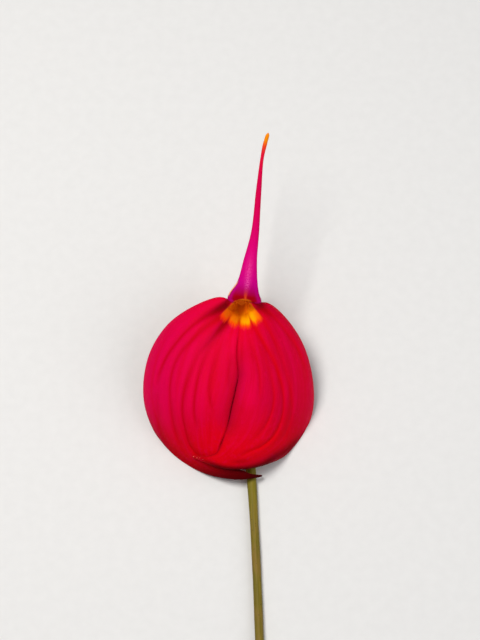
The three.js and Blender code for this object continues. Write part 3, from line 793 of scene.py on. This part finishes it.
class SepalFinish(Finish):
    """The material of the sepals, with the values that its masks are written in."""

    def __init__(self):
        super().__init__("sepal_skin")
        for name in SEPAL_VALUES:
            if name != "thickness":
                setattr(self, name, self.attribute(name))
        across, along, up = (
            self.node("SeparateXYZ", {0: self.place()}, output=axis) for axis in ("X", "Y", "Z")
        )
        self.x = across - SHIFT[0]
        self.u = (along - SHIFT[1]) * math.cos(FACE_TILT) + (up - FACE_HEIGHT) * math.sin(FACE_TILT)
        self.clouds = self.noise(9.0, 3.0)
        self.mottle = self.noise(1.6, 4.0, rough=0.6)
        self.rays = self.streaks(self.turn * 7.0, self.reach * 0.16, detail=3.0, rough=0.65)
        self.fringe = self.streaks(self.turn * 34.0, self.reach * 0.4)
        lanes = (self.lane * 11.0, self.run * 1.7)
        self.ridges = self.streaks(*lanes)
        self.fibres = self.streaks(*lanes, scale=4.5, rough=0.6)

    def patch(self, x, u, across, along, reach=1.0):
        """A soft round patch of the face: 1 at its middle, and sooner 0 where across and along are larger."""
        dx, du = self.x - x, self.u - u
        return (dx * dx * across + du * du * along).rise(reach, 0.0)


# %% The red of the face
def face_colour(s):
    """Crimson: magenta to the left, scarlet round the fan and darker in the veins, with painted light on the
    bulge of the face, a painted rim highlight on the left margin, and painted shade in the seam, under the
    margins and beside the fan.
    """
    drift = s.x + 5 * s.clouds
    # Painted light where the face bulges most towards the lamps.
    cheek_light = s.patch(2.6, -23, 0.04, 0.012)
    blush = s.patch(-7.5, -39, 0.025, 0.025)
    near_fan = (s.reach + 4 * s.rays).rise(17, 11) * s.turn.rise(-1.05, -0.85) * s.turn.rise(1.0, 0.8)
    open_lanes = s.run.rise(0.98, 0.55)
    vein_red = s.blend(s.x.rise(-2, 4), (188, 0, 6), (208, 0, 4))
    rim_light = s.edge.rise(0.55, 0.98) * s.x.rise(8, -16) * s.lane.rise(-0.2, -0.6)
    # Painted shade in the creases beside the fan, stronger on the left.
    shade_beside_fan = s.turn.rise(-0.6, -0.75) * s.turn.rise(-1.08, -0.9) * s.reach.rise(13, 5)
    shade_beside_fan = shade_beside_fan + s.turn.rise(0.5, 0.62) * s.turn.rise(1.08, 0.9) * s.reach.rise(11, 5) * 0.3
    return s.coats(
        s.blend(drift.rise(-1, -24), (222, 0, 48), (212, 0, 70)),
        (cheek_light * 0.8, (244, 0, 74)),
        (drift.rise(3, 12), (199, 0, 46)),
        (s.x.rise(13, 20), (212, 0, 50)),
        ((s.u + 6 * s.clouds).rise(-24, -42), (212, 0, 18)),
        (blush * 0.35, (236, 0, 8)),
        (s.mottle.rise(0.5, 0.75) * 0.3, (228, 0, 76)),
        (near_fan * 0.55, (222, 0, 12)),
        (s.ridges.rise(0.46, 0.68) * open_lanes * 0.35, (226, 0, 74)),
        (s.ridges.rise(0.5, 0.32) * open_lanes * 0.4, (206, 0, 12)),
        (s.fibres.rise(0.5, 0.75) * open_lanes * 0.25, (232, 2, 62)),
        (s.vein * 0.75, vein_red),
        # Painted shade in the seam and beside it.
        (s.seam * 0.8, (118, 0, 10)),
        (rim_light * 0.55, (212, 44, 132)),
        (s.shade * 0.97, (50, 0, 2)),
        (shade_beside_fan * 0.75, (112, 0, 6)),
    )


# %% The orange fan
FAN_NOTCHES = ((-0.435, 0.085), (-0.1, 0.1), (0.265, 0.07))  # turn from straight down, half width


def fan_colour(s, hollow_shade):
    """The fan's colour, with painted shade where it dips into the mouth, and a mask of where the fan lies on
    the face.
    """
    wander = 0.06 * (s.fringe - 0.5)
    notches = sum(abs(s.turn + wander - middle).rise(half, 0.0) for middle, half in FAN_NOTCHES)
    feather = s.reach + 2.6 * s.turn * s.turn + notches + 1.4 * (s.rays - 0.5) + 1.5 * (s.fringe - 0.5)
    inward = s.reach + 1.5 * (s.rays - 0.5) + 1.6 * s.turn.rise(0.12, 0.45)
    tips = s.blend(s.turn.rise(-0.2, -0.5), (246, 66, 4), (232, 52, 6))
    orange = s.coats(
        s.blend(s.turn.rise(-0.15, 0.1), (228, 114, 4), (255, 164, 0)),
        (s.turn.rise(-0.3, -0.5) * 0.75, (216, 70, 4)),
        (inward.rise(9.6, 6.6), (196, 84, 2)),
        (feather.rise(9.6, 11.1), tips),
        (s.turn.rise(0.33, 0.58) * s.reach.rise(5.5, 8.0) * 0.8, (240, 78, 6)),
        (notches * s.reach.rise(6.5, 9.5) * 0.5, (156, 40, 0)),
        # Painted shade where the fan dips into the mouth.
        (hollow_shade * 0.7, (122, 40, 0)),
    )
    left_of_it, right_of_it = s.x + 2.2 - 1.02 * s.u, 2.9 - 0.84 * s.u - s.x
    inside = feather.rise(12.2, 10.5) * left_of_it.rise(-0.4, 0.4) * right_of_it.rise(-0.4, 0.4)
    return orange, inside


# %% The colour of the dorsal sepal
def dorsal_colour(s):
    """Purple at the foot, then red, then orange at the tip, with a pale grainy band up the middle that is
    partly painted sparkle, painted shade along the turned edges and a painted sheen on the tail's rim.
    """
    rim = s.edge * s.edge
    corner = rim.rise(0.0, 0.1) * s.edge.rise(-2.2, 1.0)
    stripe_and_sparkle = s.vein * s.tail.rise(0.46, 0.3) * s.tail.rise(0.14, 0.23) * s.noise(0.32).rise(0.25, 0.6)
    turned_edge = s.tail.rise(0.095, 0.12) * s.tail.rise(0.27, 0.22)
    return s.coats(
        s.blend(s.tail.rise(0.1, 0.4), (180, 0, 134), (212, 0, 116)),
        (s.tail.rise(0.36, 0.62), (208, 0, 72)),
        (s.tail.rise(0.64, 0.77), (222, 12, 54)),
        (s.tail.rise(0.77, 0.86), (236, 62, 30)),
        (s.tail.rise(0.84, 0.93), (250, 142, 10)),
        (s.tail.rise(0.28, 0.1) * (1 - 0.75 * corner), (160, 0, 16)),
        (s.tail.rise(0.2, 0.1) * corner, (184, 4, 104)),
        # The pale grainy band: partly the skin's own colour, partly painted sparkle.
        (stripe_and_sparkle * stripe_and_sparkle * 0.6, (240, 88, 168)),
        (s.vein.rise(0.1, 0.9) * s.tail.rise(0.22, 0.08) * 0.8, (226, 70, 30)),
        # Painted shade along the turned edge.
        (s.edge.rise(0.46, 0.56) * turned_edge * 0.8, (70, 0, 20)),
        (s.edge.rise(0.6, 0.68) * turned_edge, (252, 168, 136)),
        # Painted sheen along the rim of the tail.
        (rim.rise(0.72, 0.95) * s.tail.rise(0.27, 0.3) * 0.5, (150, 60, 130)),
    )


# %% The colour and the glow of the throat
def throat_colour(s, orange, hollow_shade):
    """The wall inside the tube, from the orange of the fan to brown; the brown is partly its own colour and
    partly painted shade, darker in the mouth's middle and deeper in.
    """
    return s.coats(
        s.blend(s.depth.rise(0.3, 2.4), orange, s.blend(hollow_shade, (184, 78, 4), (136, 46, 0))),
        (s.depth.rise(5.0, 12), (150, 50, 10)),
        (s.vein * s.depth.rise(0.5, 3.0) * 0.35, (120, 30, 4)),
    )


def throat_glow(s, hollow_shade):
    """A painted glow for the light that shines through the thin wall into the tube, with painted shade deeper
    in, in the mouth's middle and along the veins.
    """
    shallow = s.blend(hollow_shade, (142, 60, 2), (120, 44, 0))
    glow = s.blend(s.depth.rise(5, 11), shallow, (124, 52, 4))
    glow = s.blend(s.vein * s.depth.rise(1.5, 4) * 0.45, glow, (84, 20, 0))
    return s.blend(s.front * s.depth.rise(0.3, 2.8), (0, 0, 0), glow)


# %% The backs
def back_colour(s):
    """Salmon behind the face, purple behind the dorsal sepal, and yellow to orange outside the tube."""
    dorsal = s.blend(s.tail.rise(0.0, 0.12), (214, 120, 60), (196, 30, 84))
    outside = s.coats(
        s.blend(s.depth.rise(0.5, 8), (206, 84, 40), (222, 150, 40)),
        (s.depth.rise(9, 14), (236, 184, 44)),
        (s.vein.rise(0.4, 1.0) * 0.45, (198, 84, 30)),
    )
    return s.coats(
        s.blend(s.clouds.rise(0.3, 0.7), (206, 84, 80), (196, 92, 62)),
        (s.vein * 0.45, (222, 122, 84)),
        (s.rays.rise(0.4, 0.7) * 0.5, (176, 50, 70)),
        (s.edge.rise(0.2, 0.8) * 0.6, (204, 40, 84)),
        (s.reach.rise(17, 7) * 0.8, (206, 92, 34)),
        (s.dorsal, dorsal),
        (s.tail.rise(0.8, 0.92) * s.dorsal, (230, 120, 24)),
        (s.depth.rise(0.0, 0.6), outside),
    )


# %% The whole finish of the sepals
def sepal_finish():
    s = SepalFinish()
    # A soft patch of painted shade in the middle of the mouth.
    hollow_shade = s.patch(-0.1, -1.8, 0.35, 0.2, reach=1.3)
    orange, inside = fan_colour(s, hollow_shade)
    brow = (s.u + 0.11 * (s.x - 1.0) * (s.x - 1.0)).rise(1.4, 0.95)
    brow_colour = s.blend(s.x.rise(2.6, 3.8), (196, 92, 8), (160, 0, 12))
    front = s.coats(
        face_colour(s),
        (inside, orange),
        (s.dorsal, dorsal_colour(s)),
        (s.dorsal * brow, brow_colour),
        (s.depth.rise(0.0, 0.25), throat_colour(s, orange, hollow_shade)),
    )
    skin = s.blend(s.front.rise(0.05, 0.3), back_colour(s), front)
    skin = s.blend(s.bead * 0.85, skin, (246, 120, 116))
    height = 0.6 * s.mottle + 0.6 * s.fibres + 0.5 * s.ridges - 0.5 * s.cells(0.16)
    return s.shell(
        skin, 0.52 + 0.14 * s.mottle - 0.06 * s.edge, height, 0.05, Specular_IOR_Level=0.02,
        Subsurface_Weight=0.06, Subsurface_Radius=(0.0016, 0.0003, 0.0003), Subsurface_Scale=1.0,
        Emission_Color=throat_glow(s, hollow_shade), Emission_Strength=1.0,
    )


# %% [markdown]
# ### Joining the sepals
#
# The four grids meet point for point along the seam and round the mouth, so merging their doubles makes one
# skin. Then it gets its thickness, and last a few pale beads on the tip of the right sepal.

# %% Building the sepals
MERGE = 1.5e-6
BEADS = [  # x, u, radius
    (-13.55, -44.8, 0.13), (-12.55, -45.1, 0.11), (-11.75, -45.1, 0.08), (-10.8, -45.55, 0.07),
]


def add_beads(bm):
    """Sets tiny pale beads on the tip of the right sepal, where a ray from the front meets it."""
    tree = BVHTree.FromBMesh(bm)
    out = face_point(0, 0, 1) - face_point(0, 0, 0)
    for x, u, radius in BEADS:
        place = tree.ray_cast(face_point(x, u, 20), -out)[0]
        spot = Matrix.Translation(place)
        made = bmesh.ops.create_icosphere(bm, subdivisions=2, radius=radius * MM, matrix=spot)
        for v in made["verts"]:
            v[bm.verts.layers.float["bead"]] = v[bm.verts.layers.float["front"]] = 1.0


def make_sepals():
    bm = bmesh.new()
    for name in SEPAL_VALUES:
        bm.verts.layers.float.new(name)
    add_grid(bm, LATERAL_COLUMNS, LATERAL_ROWS, lateral_sepal(1), flip=True)
    add_grid(bm, LATERAL_COLUMNS, LATERAL_ROWS, lateral_sepal(-1))
    add_grid(bm, DORSAL_COLUMNS, DORSAL_ROWS, dorsal_sepal, flip=True)
    add_grid(bm, TUBE_COLUMNS, TUBE_ROWS, tube)
    before = len(bm.verts)
    bmesh.ops.remove_doubles(bm, verts=bm.verts[:], dist=MERGE)
    print("sepals: joined", before - len(bm.verts), "points along the mouth and the seam")
    thicken(bm)
    add_beads(bm)
    finished("sepals_dressed", bm, sepal_finish(), "sepals")


make_sepals()

# %% [markdown]
# ## Round pieces along the stalk
#
# Ovary, pedicel, bract, scape and sheath are round bodies on one line, so one helper makes them all. A curve
# with a bevel is quicker for a plain stalk, but ribs, a slanting cut and a pointed mouth need every point
# moved by its own angle. A profile lists places along the stalk and radii. The grid's columns go once round
# and its rows follow the profile, which ends on the line itself or where it started, so merging the doubles
# closes the body.

# %% A round piece
ROUND_VALUES = ("way", "round_x", "round_y", "radius", "inner", "rib")


def round_piece(name, profile, columns, rows, finish, node, shape=None):
    """Wraps a grid round the stalk; shape(angle, way, radius, along) may change where its points go."""
    line = Line(profile)

    def formula(across, along):
        angle = 2 * math.pi * across
        way, radius = line.by_step(along).T
        radius = np.maximum(radius, 0)
        beside, outward = radius * np.cos(angle), radius * np.sin(angle)
        values = {"way": way, "round_x": np.cos(angle), "round_y": np.sin(angle), "radius": radius}
        if shape:
            way, beside, outward, extra = shape(angle, way, radius, along)
            values |= extra
        return stalk_place(way, beside, outward), values

    bm = bmesh.new()
    for value in ROUND_VALUES:
        bm.verts.layers.float.new(value)
    add_grid(bm, columns, rows, formula)
    bmesh.ops.remove_doubles(bm, verts=bm.verts[:], dist=MERGE)
    bmesh.ops.recalc_face_normals(bm, faces=bm.faces[:])
    finished(name, bm, finish, node)


def ribs(angle, count, height):
    return height * np.cos(count * angle)


# %% [markdown]
# ### Stalk skins
#
# A stalk is streaked along its length and freckled. Noise would show a seam where the angle jumps from a
# full turn to zero, so the streaks read the cosine and the sine of the angle instead, and the way along
# the stalk only a little.

# %% Streaks and freckles
def along_streaks(finish, fine, drawn_out):
    """Streaks along the stalk: fine sets how many go round, drawn_out how long they are in millimetres."""
    round_x, round_y, way = (finish.attribute(name) for name in ("round_x", "round_y", "way"))
    return finish.streaks(round_x * fine, round_y * fine, way * (1 / drawn_out), detail=3.0, rough=0.6)


def freckles(finish, size, amount):
    """Small dark spots of uneven size."""
    return (finish.cells(size) + 0.25 * finish.noise(size * 3)).rise(amount, amount - 0.12)


# %% The skin of the scape
def scape_finish():
    finish = Finish("scape_skin")
    way = finish.attribute("way")
    streaks, fine_streaks = along_streaks(finish, 2.2, 14.0), along_streaks(finish, 7.0, 5.0)
    pith = finish.coats(
        (196, 204, 138),
        (finish.cells(0.42).rise(0.28, 0.16), (120, 128, 66)),
        (finish.attribute("radius").rise(0.95, 1.2), (96, 104, 40)),
    )
    skin = finish.coats(
        (112, 97, 12),
        (finish.noise(7.0).rise(0.35, 0.65), (126, 100, 34)),
        (streaks.rise(0.45, 0.65) * 0.7, (90, 84, 6)),
        (fine_streaks.rise(0.5, 0.75) * 0.45, (150, 134, 46)),
        (way.rise(100, 62) * 0.55, (126, 120, 12)),
        (freckles(finish, 1.1, 0.3) * 0.75, (60, 32, 26)),
        (way.rise(172, 176) * 0.6, (92, 62, 34)),
        (finish.attribute("inner"), pith),
    )
    height = 0.8 * fine_streaks + 0.5 * streaks
    return finish.shell(skin, 0.42 + 0.2 * fine_streaks, height, 0.05, Specular_IOR_Level=0.18)


# %% The skins of pedicel and ovary
def pedicel_finish():
    finish = Finish("pedicel_skin")
    streaks, fine_streaks = along_streaks(finish, 2.0, 9.0), along_streaks(finish, 6.5, 4.0)
    skin = finish.coats(
        (206, 150, 136),
        (streaks.rise(0.4, 0.65), (178, 128, 104)),
        (fine_streaks.rise(0.5, 0.75) * 0.4, (226, 186, 168)),
        (finish.attribute("way").rise(33, 25), (128, 112, 40)),
        (freckles(finish, 0.8, 0.24) * 0.55, (120, 44, 44)),
    )
    height = 0.7 * fine_streaks + 0.4 * streaks
    return finish.shell(skin, 0.45 + 0.15 * fine_streaks, height, 0.05, Specular_IOR_Level=0.3)


def ovary_finish():
    finish = Finish("ovary_skin")
    streaks, mottle = along_streaks(finish, 3.0, 4.0), finish.noise(0.7, 4.0)
    skin = finish.coats(
        (92, 84, 22),
        (finish.attribute("rib"), (156, 112, 38)),
        (streaks.rise(0.45, 0.7) * 0.6, (120, 104, 30)),
        (mottle.rise(0.5, 0.75) * 0.5, (126, 48, 30)),
    )
    height = 0.6 * mottle + 0.6 * streaks
    return finish.shell(skin, 0.45 + 0.15 * mottle, height, 0.06, Specular_IOR_Level=0.3)


# %% The skin of bract and sheath
def darker(colour, share):
    return [share * c for c in colour]


def papery_finish(name, fresh, dry, tip, start, length):
    """A thin dry sheath with close veins: fresh at its foot and dry towards its mouth."""
    finish = Finish(name)
    way = finish.attribute("way")
    streaks, fine_streaks = along_streaks(finish, 5.0, 10.0), along_streaks(finish, 14.0, 6.0)
    age = (way + 5 * streaks).rise(start + 0.75 * length, start + 0.25 * length)
    skin = finish.coats(
        fresh,
        (age, dry),
        (fine_streaks.rise(0.42, 0.7) * 0.6, darker(dry, 0.72)),
        ((way + 3 * streaks).rise(start + 3.4, start + 0.6), tip),
        (freckles(finish, 1.0, 0.22) * 0.6, (112, 70, 40)),
        (finish.attribute("inner") * 0.5, darker(dry, 0.6)),
    )
    height = 0.9 * fine_streaks + 0.6 * streaks
    return finish.shell(skin, 0.55 + 0.25 * fine_streaks, height, 0.07, Specular_IOR_Level=0.3)


# %% [markdown]
# ## Ovary, pedicel, bract, scape and sheath
#
# The ovary has six ribs. The pedicel's foot stands in a thin bract, whose mouth rises to a point on one
# side. The scape is the long stalk below, cut at a slant, and one dry sheath clasps it at a joint.

# %% Where the pieces of the stalk begin and end
OVARY_START = TUBE_LENGTH + SOLID_SEPAL / 2 + SEAT
OVARY_END = OVARY_START + OVARY_LENGTH
PEDICEL_START = OVARY_END + SEAT
BRACT_END = BRACT_START + BRACT_LENGTH
PEDICEL_END = BRACT_END - BRACT_CUP - SEAT
SCAPE_START = BRACT_END + SEAT
SCAPE_END = SCAPE_START + SCAPE_LENGTH
SHEATH_END = SHEATH_START + SHEATH_LENGTH
POINT_TURN, SHEATH_TURN = 0.7, 2.2
print("the stalk ends", round(SCAPE_END, 1), "mm from the mouth")


def stretch(start, end, shares):
    return [start + share * (end - start) for share in shares]


def around(wide, angle):
    return wide * np.cos(angle), wide * np.sin(angle)


def pointed(height, angle, middle):
    """How far a sheath's mouth stands out on one side."""
    return height * (0.5 + 0.5 * np.cos(angle - middle)) ** 2


# %% The ovary
def make_ovary():
    shares = [0.02, 0.06, 0.15, 0.3, 0.5, 0.7, 0.85, 0.95, 1.0]
    radii = [OVARY_RADIUS * (0.82 + 0.18 * math.sin(math.pi * min(share * 1.15, 1))) for share in shares]
    profile = [(OVARY_START - 0.25, 0), (OVARY_START - 0.2, 1.1)]
    profile += zip(stretch(OVARY_START, OVARY_END, shares), radii)
    profile += [(OVARY_END + 0.2, 1.3), (OVARY_END + 0.25, 0)]

    def shape(angle, way, radius, along):
        rib = 0.5 + 0.5 * np.cos(OVARY_RIBS * angle)
        swell = smooth(OVARY_START, OVARY_START + 0.8, way)
        swell = swell * (1 - 0.7 * smooth(OVARY_END - 1.6, OVARY_END, way))
        wide = radius * (1 + swell * OVARY_RIB * (2 * rib**0.7 - 1) - 0.02)
        return way, *around(wide, angle), {"rib": rib}

    round_piece("ovary_dressed", profile, 72, 60, ovary_finish(), "ovary", shape)


make_ovary()


# %% The pedicel
def make_pedicel():
    shares = (0.05, 0.2, 0.4, 0.6, 0.8, 0.95)
    profile = [(PEDICEL_START - 0.6, 0), (PEDICEL_START - 0.5, 1.1), (PEDICEL_START, 1.36)]
    radii = [PEDICEL_RADIUS * (0.94 + 0.06 * share) for share in shares]
    profile += zip(stretch(PEDICEL_START, PEDICEL_END, shares), radii)
    profile += [(PEDICEL_END - 0.1, 1.4), (PEDICEL_END, 0)]

    def shape(angle, way, radius, along):
        wide = radius * (1 + ribs(angle, 9, 0.012) + 0.012 * np.sin(way * 0.9))
        return way, *around(wide, angle), {}

    round_piece("pedicel_dressed", profile, 48, 110, pedicel_finish(), "pedicel", shape)


make_pedicel()


# %% The bract
def make_bract():
    start, bottom = BRACT_START, BRACT_END - BRACT_CUP
    inside = [(bottom, 0), (bottom, 1.2), (bottom - 0.2, 1.7), (start + 7, 1.8), (start + 3, 1.86)]
    rim = [(start + 0.25, 2.0), (start, 2.1), (start + 0.25, 2.22)]
    outside = [(start + 2, 2.34), (start + 5, BRACT_RADIUS), (start + 8, 2.36), (start + 11.2, 2.05)]
    foot = [(start + 13.8, 1.65), (BRACT_END - 0.3, 1.36), (BRACT_END + 0.25, 1.3), (BRACT_END + 0.3, 0)]
    profile = inside + rim + outside + foot
    count = len(profile) - 1

    def shape(angle, way, radius, along):
        share = (way - start) / BRACT_LENGTH
        point = pointed(3.0, angle, POINT_TURN) * (1 - smooth(0, 0.45, share))
        wave = 0.12 * np.sin(3 * angle + 1) * (1 - smooth(0, 0.2, share))
        outer = smooth(5 / count, 7 / count, along)
        veins = outer * (ribs(angle, 13, 0.035) + 0.12 * pointed(1, angle, POINT_TURN))
        wide = np.minimum(radius + veins * np.minimum(radius, 1), 2.42)
        inner = 1 - smooth(5 / count, 6 / count, along)
        return way - point + wave, *around(wide, angle), {"inner": inner}

    finish = papery_finish("bract_skin", (178, 182, 74), (204, 186, 120), (150, 100, 52), start, BRACT_LENGTH)
    round_piece("bract_dressed", profile, 91, 110, finish, "floral_bract", shape)


make_bract()


# %% The scape
def make_scape():
    profile = [(SCAPE_START, 0), (SCAPE_START, 1.1), (SCAPE_START + 0.3, SCAPE_RADIUS)]
    profile += [(way, SCAPE_RADIUS) for way in stretch(SCAPE_START, SCAPE_END, (0.2, 0.4, 0.6, 0.8, 0.99))]
    profile += [(SCAPE_END - 0.1, 1.22), (SCAPE_END, 1.12), (SCAPE_END, 0)]

    def shape(angle, way, radius, along):
        wide = radius * (1 + ribs(angle, 8, 0.018) + 0.014 * np.sin(way * 0.35) + 0.008 * np.sin(way * 1.3))
        slant = 0.9 * np.sin(angle) * (radius / SCAPE_RADIUS) * smooth(SCAPE_END - 4, SCAPE_END, way)
        end = (way > SCAPE_END - 0.02) * smooth(1.2, 1.1, radius)
        return way + slant, *around(wide, angle), {"inner": end}

    round_piece("scape_dressed", profile, 48, 210, scape_finish(), "scape", shape)


make_scape()


# %% The sheath
def make_sheath():
    start, end = SHEATH_START, SHEATH_END
    outside = [(start, 1.86), (start + 0.25, 2.0), (start + 1.2, 2.1), (start + 4.5, SHEATH_RADIUS)]
    outside += [(start + 8, 2.12), (start + 11, 2.08), (start + 13.4, 1.9), (end - 0.4, 1.5), (end, 1.34)]
    inside = [(end - 0.2, 1.26), (end - 3, 1.28), (start + 8, 1.5), (start + 3, 1.66), (start + 0.4, 1.78)]
    profile = [*outside, *inside, outside[0]]
    count = len(profile) - 1

    def shape(angle, way, radius, along):
        point = pointed(2.2, angle, SHEATH_TURN) * (1 - smooth(0, 0.5, (way - start) / SHEATH_LENGTH))
        outer = smooth(0.5 / count, 2 / count, along) * (1 - smooth(7 / count, 8 / count, along))
        wide = radius + outer * (ribs(angle, 11, 0.04) + 0.05 * np.sin(2 * angle + way * 0.5))
        inner = smooth(8 / count, 9 / count, along)
        return way - point, *around(wide, angle), {"inner": inner}

    finish = papery_finish("sheath_skin", (150, 146, 46), (172, 158, 84), (124, 86, 40), start, SHEATH_LENGTH)
    round_piece("sheath_dressed", profile, 88, 100, finish, "scape_sheath", shape)


make_sheath()

# %% [markdown]
# ## The small organs
#
# Deep in the tube stand two tiny petals, a lip and between them the column, which ends in an anther cap.
# Each is a closed body along the stalk's line with its own half sizes, so they stand clear of the tube.
# Their skins glow a little, as the tube's wall does, because light reaches them through it.

# %% The skin of an organ
def organ_finish(name, skin_tone, spot_tone, light_tone, gloss=0.4):
    """A spotted, grainy skin with a painted glow for the light that reaches it through the wall of the tube.
    """
    finish = Finish(name)
    spots, grain = finish.noise(0.35, 3.0), finish.cells(0.09)
    skin = finish.coats(
        skin_tone,
        (spots.rise(0.5, 0.72) * 0.8, spot_tone),
        (grain.rise(0.2, 0.6) * 0.25, darker(skin_tone, 0.8)),
    )
    return finish.shell(
        skin, gloss + 0.2 * spots, 0.6 * spots - 0.4 * grain, 0.03, Specular_IOR_Level=0.25,
        Emission_Color=tone(light_tone), Emission_Strength=1.0,
    )


# %% The body of an organ
def organ(name, start, end, columns, rows, section, finish):
    """A closed body between two places on the stalk; section(share) gives its middle and half sizes."""

    def shape(angle, way, radius, along):
        share = np.clip((way - start) / (end - start), 0, 1)
        middle_x, middle_out, half_x, half_out = section(share)
        beside = middle_x + half_x * radius * np.cos(angle)
        return way, beside, middle_out + half_out * radius * np.sin(angle), {}

    rounded = [(start + (end - start) * share, math.sqrt(1 - abs(2 * share - 1) ** 6)) for share in
               (0, 0.01, 0.04, 0.1, 0.2, 0.35, 0.5, 0.65, 0.8, 0.9, 0.96, 0.99, 1)]
    round_piece(name + "_dressed", rounded, columns, rows, finish, name, shape)


# %% Petals, lip, column and anther cap
ORGAN_BASE = TUBE_LENGTH
COLUMN_FROM, COLUMN_TO = ORGAN_BASE - 6.0, OVARY_START - SEAT


def make_organs():
    def petal(side):
        def section(share):
            high = 0.9 * np.sqrt(np.sin(math.pi * (0.12 + 0.7 * share)))
            return side * 1.4 + 0 * share, 0.35 + 0 * share, 0.3 + 0 * share, high
        return section

    def lip(share):
        half = 0.6 + 0.5 * np.sin(math.pi * np.minimum(1, 0.25 + share))
        return 0 * share, -1.4 + 0 * share, half, 0.3 + 0 * share

    def column(share):
        half = 0.75 - 0.12 * share
        return 0 * share, 0.35 * np.sin(math.pi * share), half, half

    def cap(share):
        half = 0.8 * np.sqrt(0.15 + 0.85 * share)
        return 0 * share, 0 * share, half, half

    petal_skin = organ_finish("petal_skin", (236, 196, 128), (214, 120, 84), (128, 58, 8))
    organ("petal_left", ORGAN_BASE - 6.2, ORGAN_BASE - 1.0, 24, 36, petal(-1), petal_skin)
    organ("petal_right", ORGAN_BASE - 6.2, ORGAN_BASE - 1.0, 24, 36, petal(1), petal_skin)
    organ("lip", ORGAN_BASE - 6.0, ORGAN_BASE - 1.4, 32, 36, lip,
          organ_finish("lip_skin", (196, 104, 40), (142, 52, 22), (134, 60, 6), 0.5))
    column_skin = organ_finish("column_skin", (232, 206, 150), (190, 104, 96), (150, 78, 16))
    organ("column", COLUMN_FROM, COLUMN_TO, 32, 36, column, column_skin)
    organ("anther_cap", ORGAN_BASE - 7.2, COLUMN_FROM - SEAT, 28, 24, cap,
          organ_finish("anther_skin", (244, 226, 176), (220, 186, 120), (168, 92, 22)))


make_organs()

# %% [markdown]
# ## The surface, the light and the camera
#
# A pale floor, a large soft light from the upper left, a weak fill from the right and a pale sky are
# enough. The camera looks squarely at the face, which leans 20 degrees from level, so it stands 70 degrees
# above the horizon, far enough away to flatten the flower as a long lens does.

# %% The floor
def floor_finish():
    finish = Finish("pale_floor")
    grain = finish.noise(3.0, 3.0)
    colour = finish.blend(grain, (222, 221, 219), (229, 228, 226))
    return finish.shell(colour, 0.75 + 0.1 * grain, Specular_IOR_Level=0.2)


def make_floor():
    bm = bmesh.new()
    bmesh.ops.create_grid(bm, x_segments=1, y_segments=1, size=3.0)
    mesh = bpy.data.meshes.new("floor")
    bm.to_mesh(mesh)
    bm.free()
    mesh.materials.append(floor_finish())
    floor = bpy.data.objects.new("floor", mesh)
    bpy.context.scene.collection.objects.link(floor)


make_floor()


# %% The lights
LIGHTS = [  # name, place from the middle of the face and size in metres, power, colour
    ("key", (-0.22, 0.06, 0.64), 0.30, 3.9, (1.0, 0.98, 0.95)),
    ("fill", (0.55, -0.10, 0.42), 0.60, 1.7, (0.95, 0.97, 1.0)),
]
SKY_COLOUR, SKY_STRENGTH = (0.93, 0.95, 1.0, 1), 0.26


def aimed(name, data, place, direction):
    """Links a lamp or a camera at a place, turned to look in a direction."""
    holder = bpy.data.objects.new(name, data)
    holder.location = place
    holder.rotation_euler = direction.to_track_quat("-Z", "Y").to_euler()
    bpy.context.scene.collection.objects.link(holder)
    return holder


def make_light():
    middle = face_point(-3, -20)
    for name, offset, size, power, colour in LIGHTS:
        light = bpy.data.lights.new(name, "AREA")
        light.size, light.energy, light.color = size, power, colour
        aimed(name, light, middle + Vector(offset), -Vector(offset))
        print(name, "light:", power, "W from", round(Vector(offset).length, 2), "m")
    world = bpy.data.worlds.new("studio")
    bpy.context.scene.world = world
    world.use_nodes = True
    sky = world.node_tree.nodes["Background"].inputs
    sky["Color"].default_value, sky["Strength"].default_value = SKY_COLOUR, SKY_STRENGTH


make_light()
bpy.context.scene.view_settings.view_transform = "Standard"

# %% The camera
CAMERA_DISTANCE = 0.6
CAMERA_TARGET = (0.0, -4.93, -2.0)
PICTURE_HEIGHT = 640 * 0.29 * MM  # 640 rows of 0.29 mm each
SENSOR = 36.0


def make_camera():
    camera = bpy.data.cameras.new("camera")
    camera.sensor_width = SENSOR
    camera.lens = SENSOR * CAMERA_DISTANCE / PICTURE_HEIGHT
    camera.clip_start, camera.clip_end = 0.01, 20
    out = Vector((0, -math.sin(FACE_TILT), math.cos(FACE_TILT)))
    place = face_point(*CAMERA_TARGET) + out * CAMERA_DISTANCE
    bpy.context.scene.camera = aimed("camera", camera, place, -out)
    print("camera lens", round(camera.lens, 1), "mm")


make_camera()
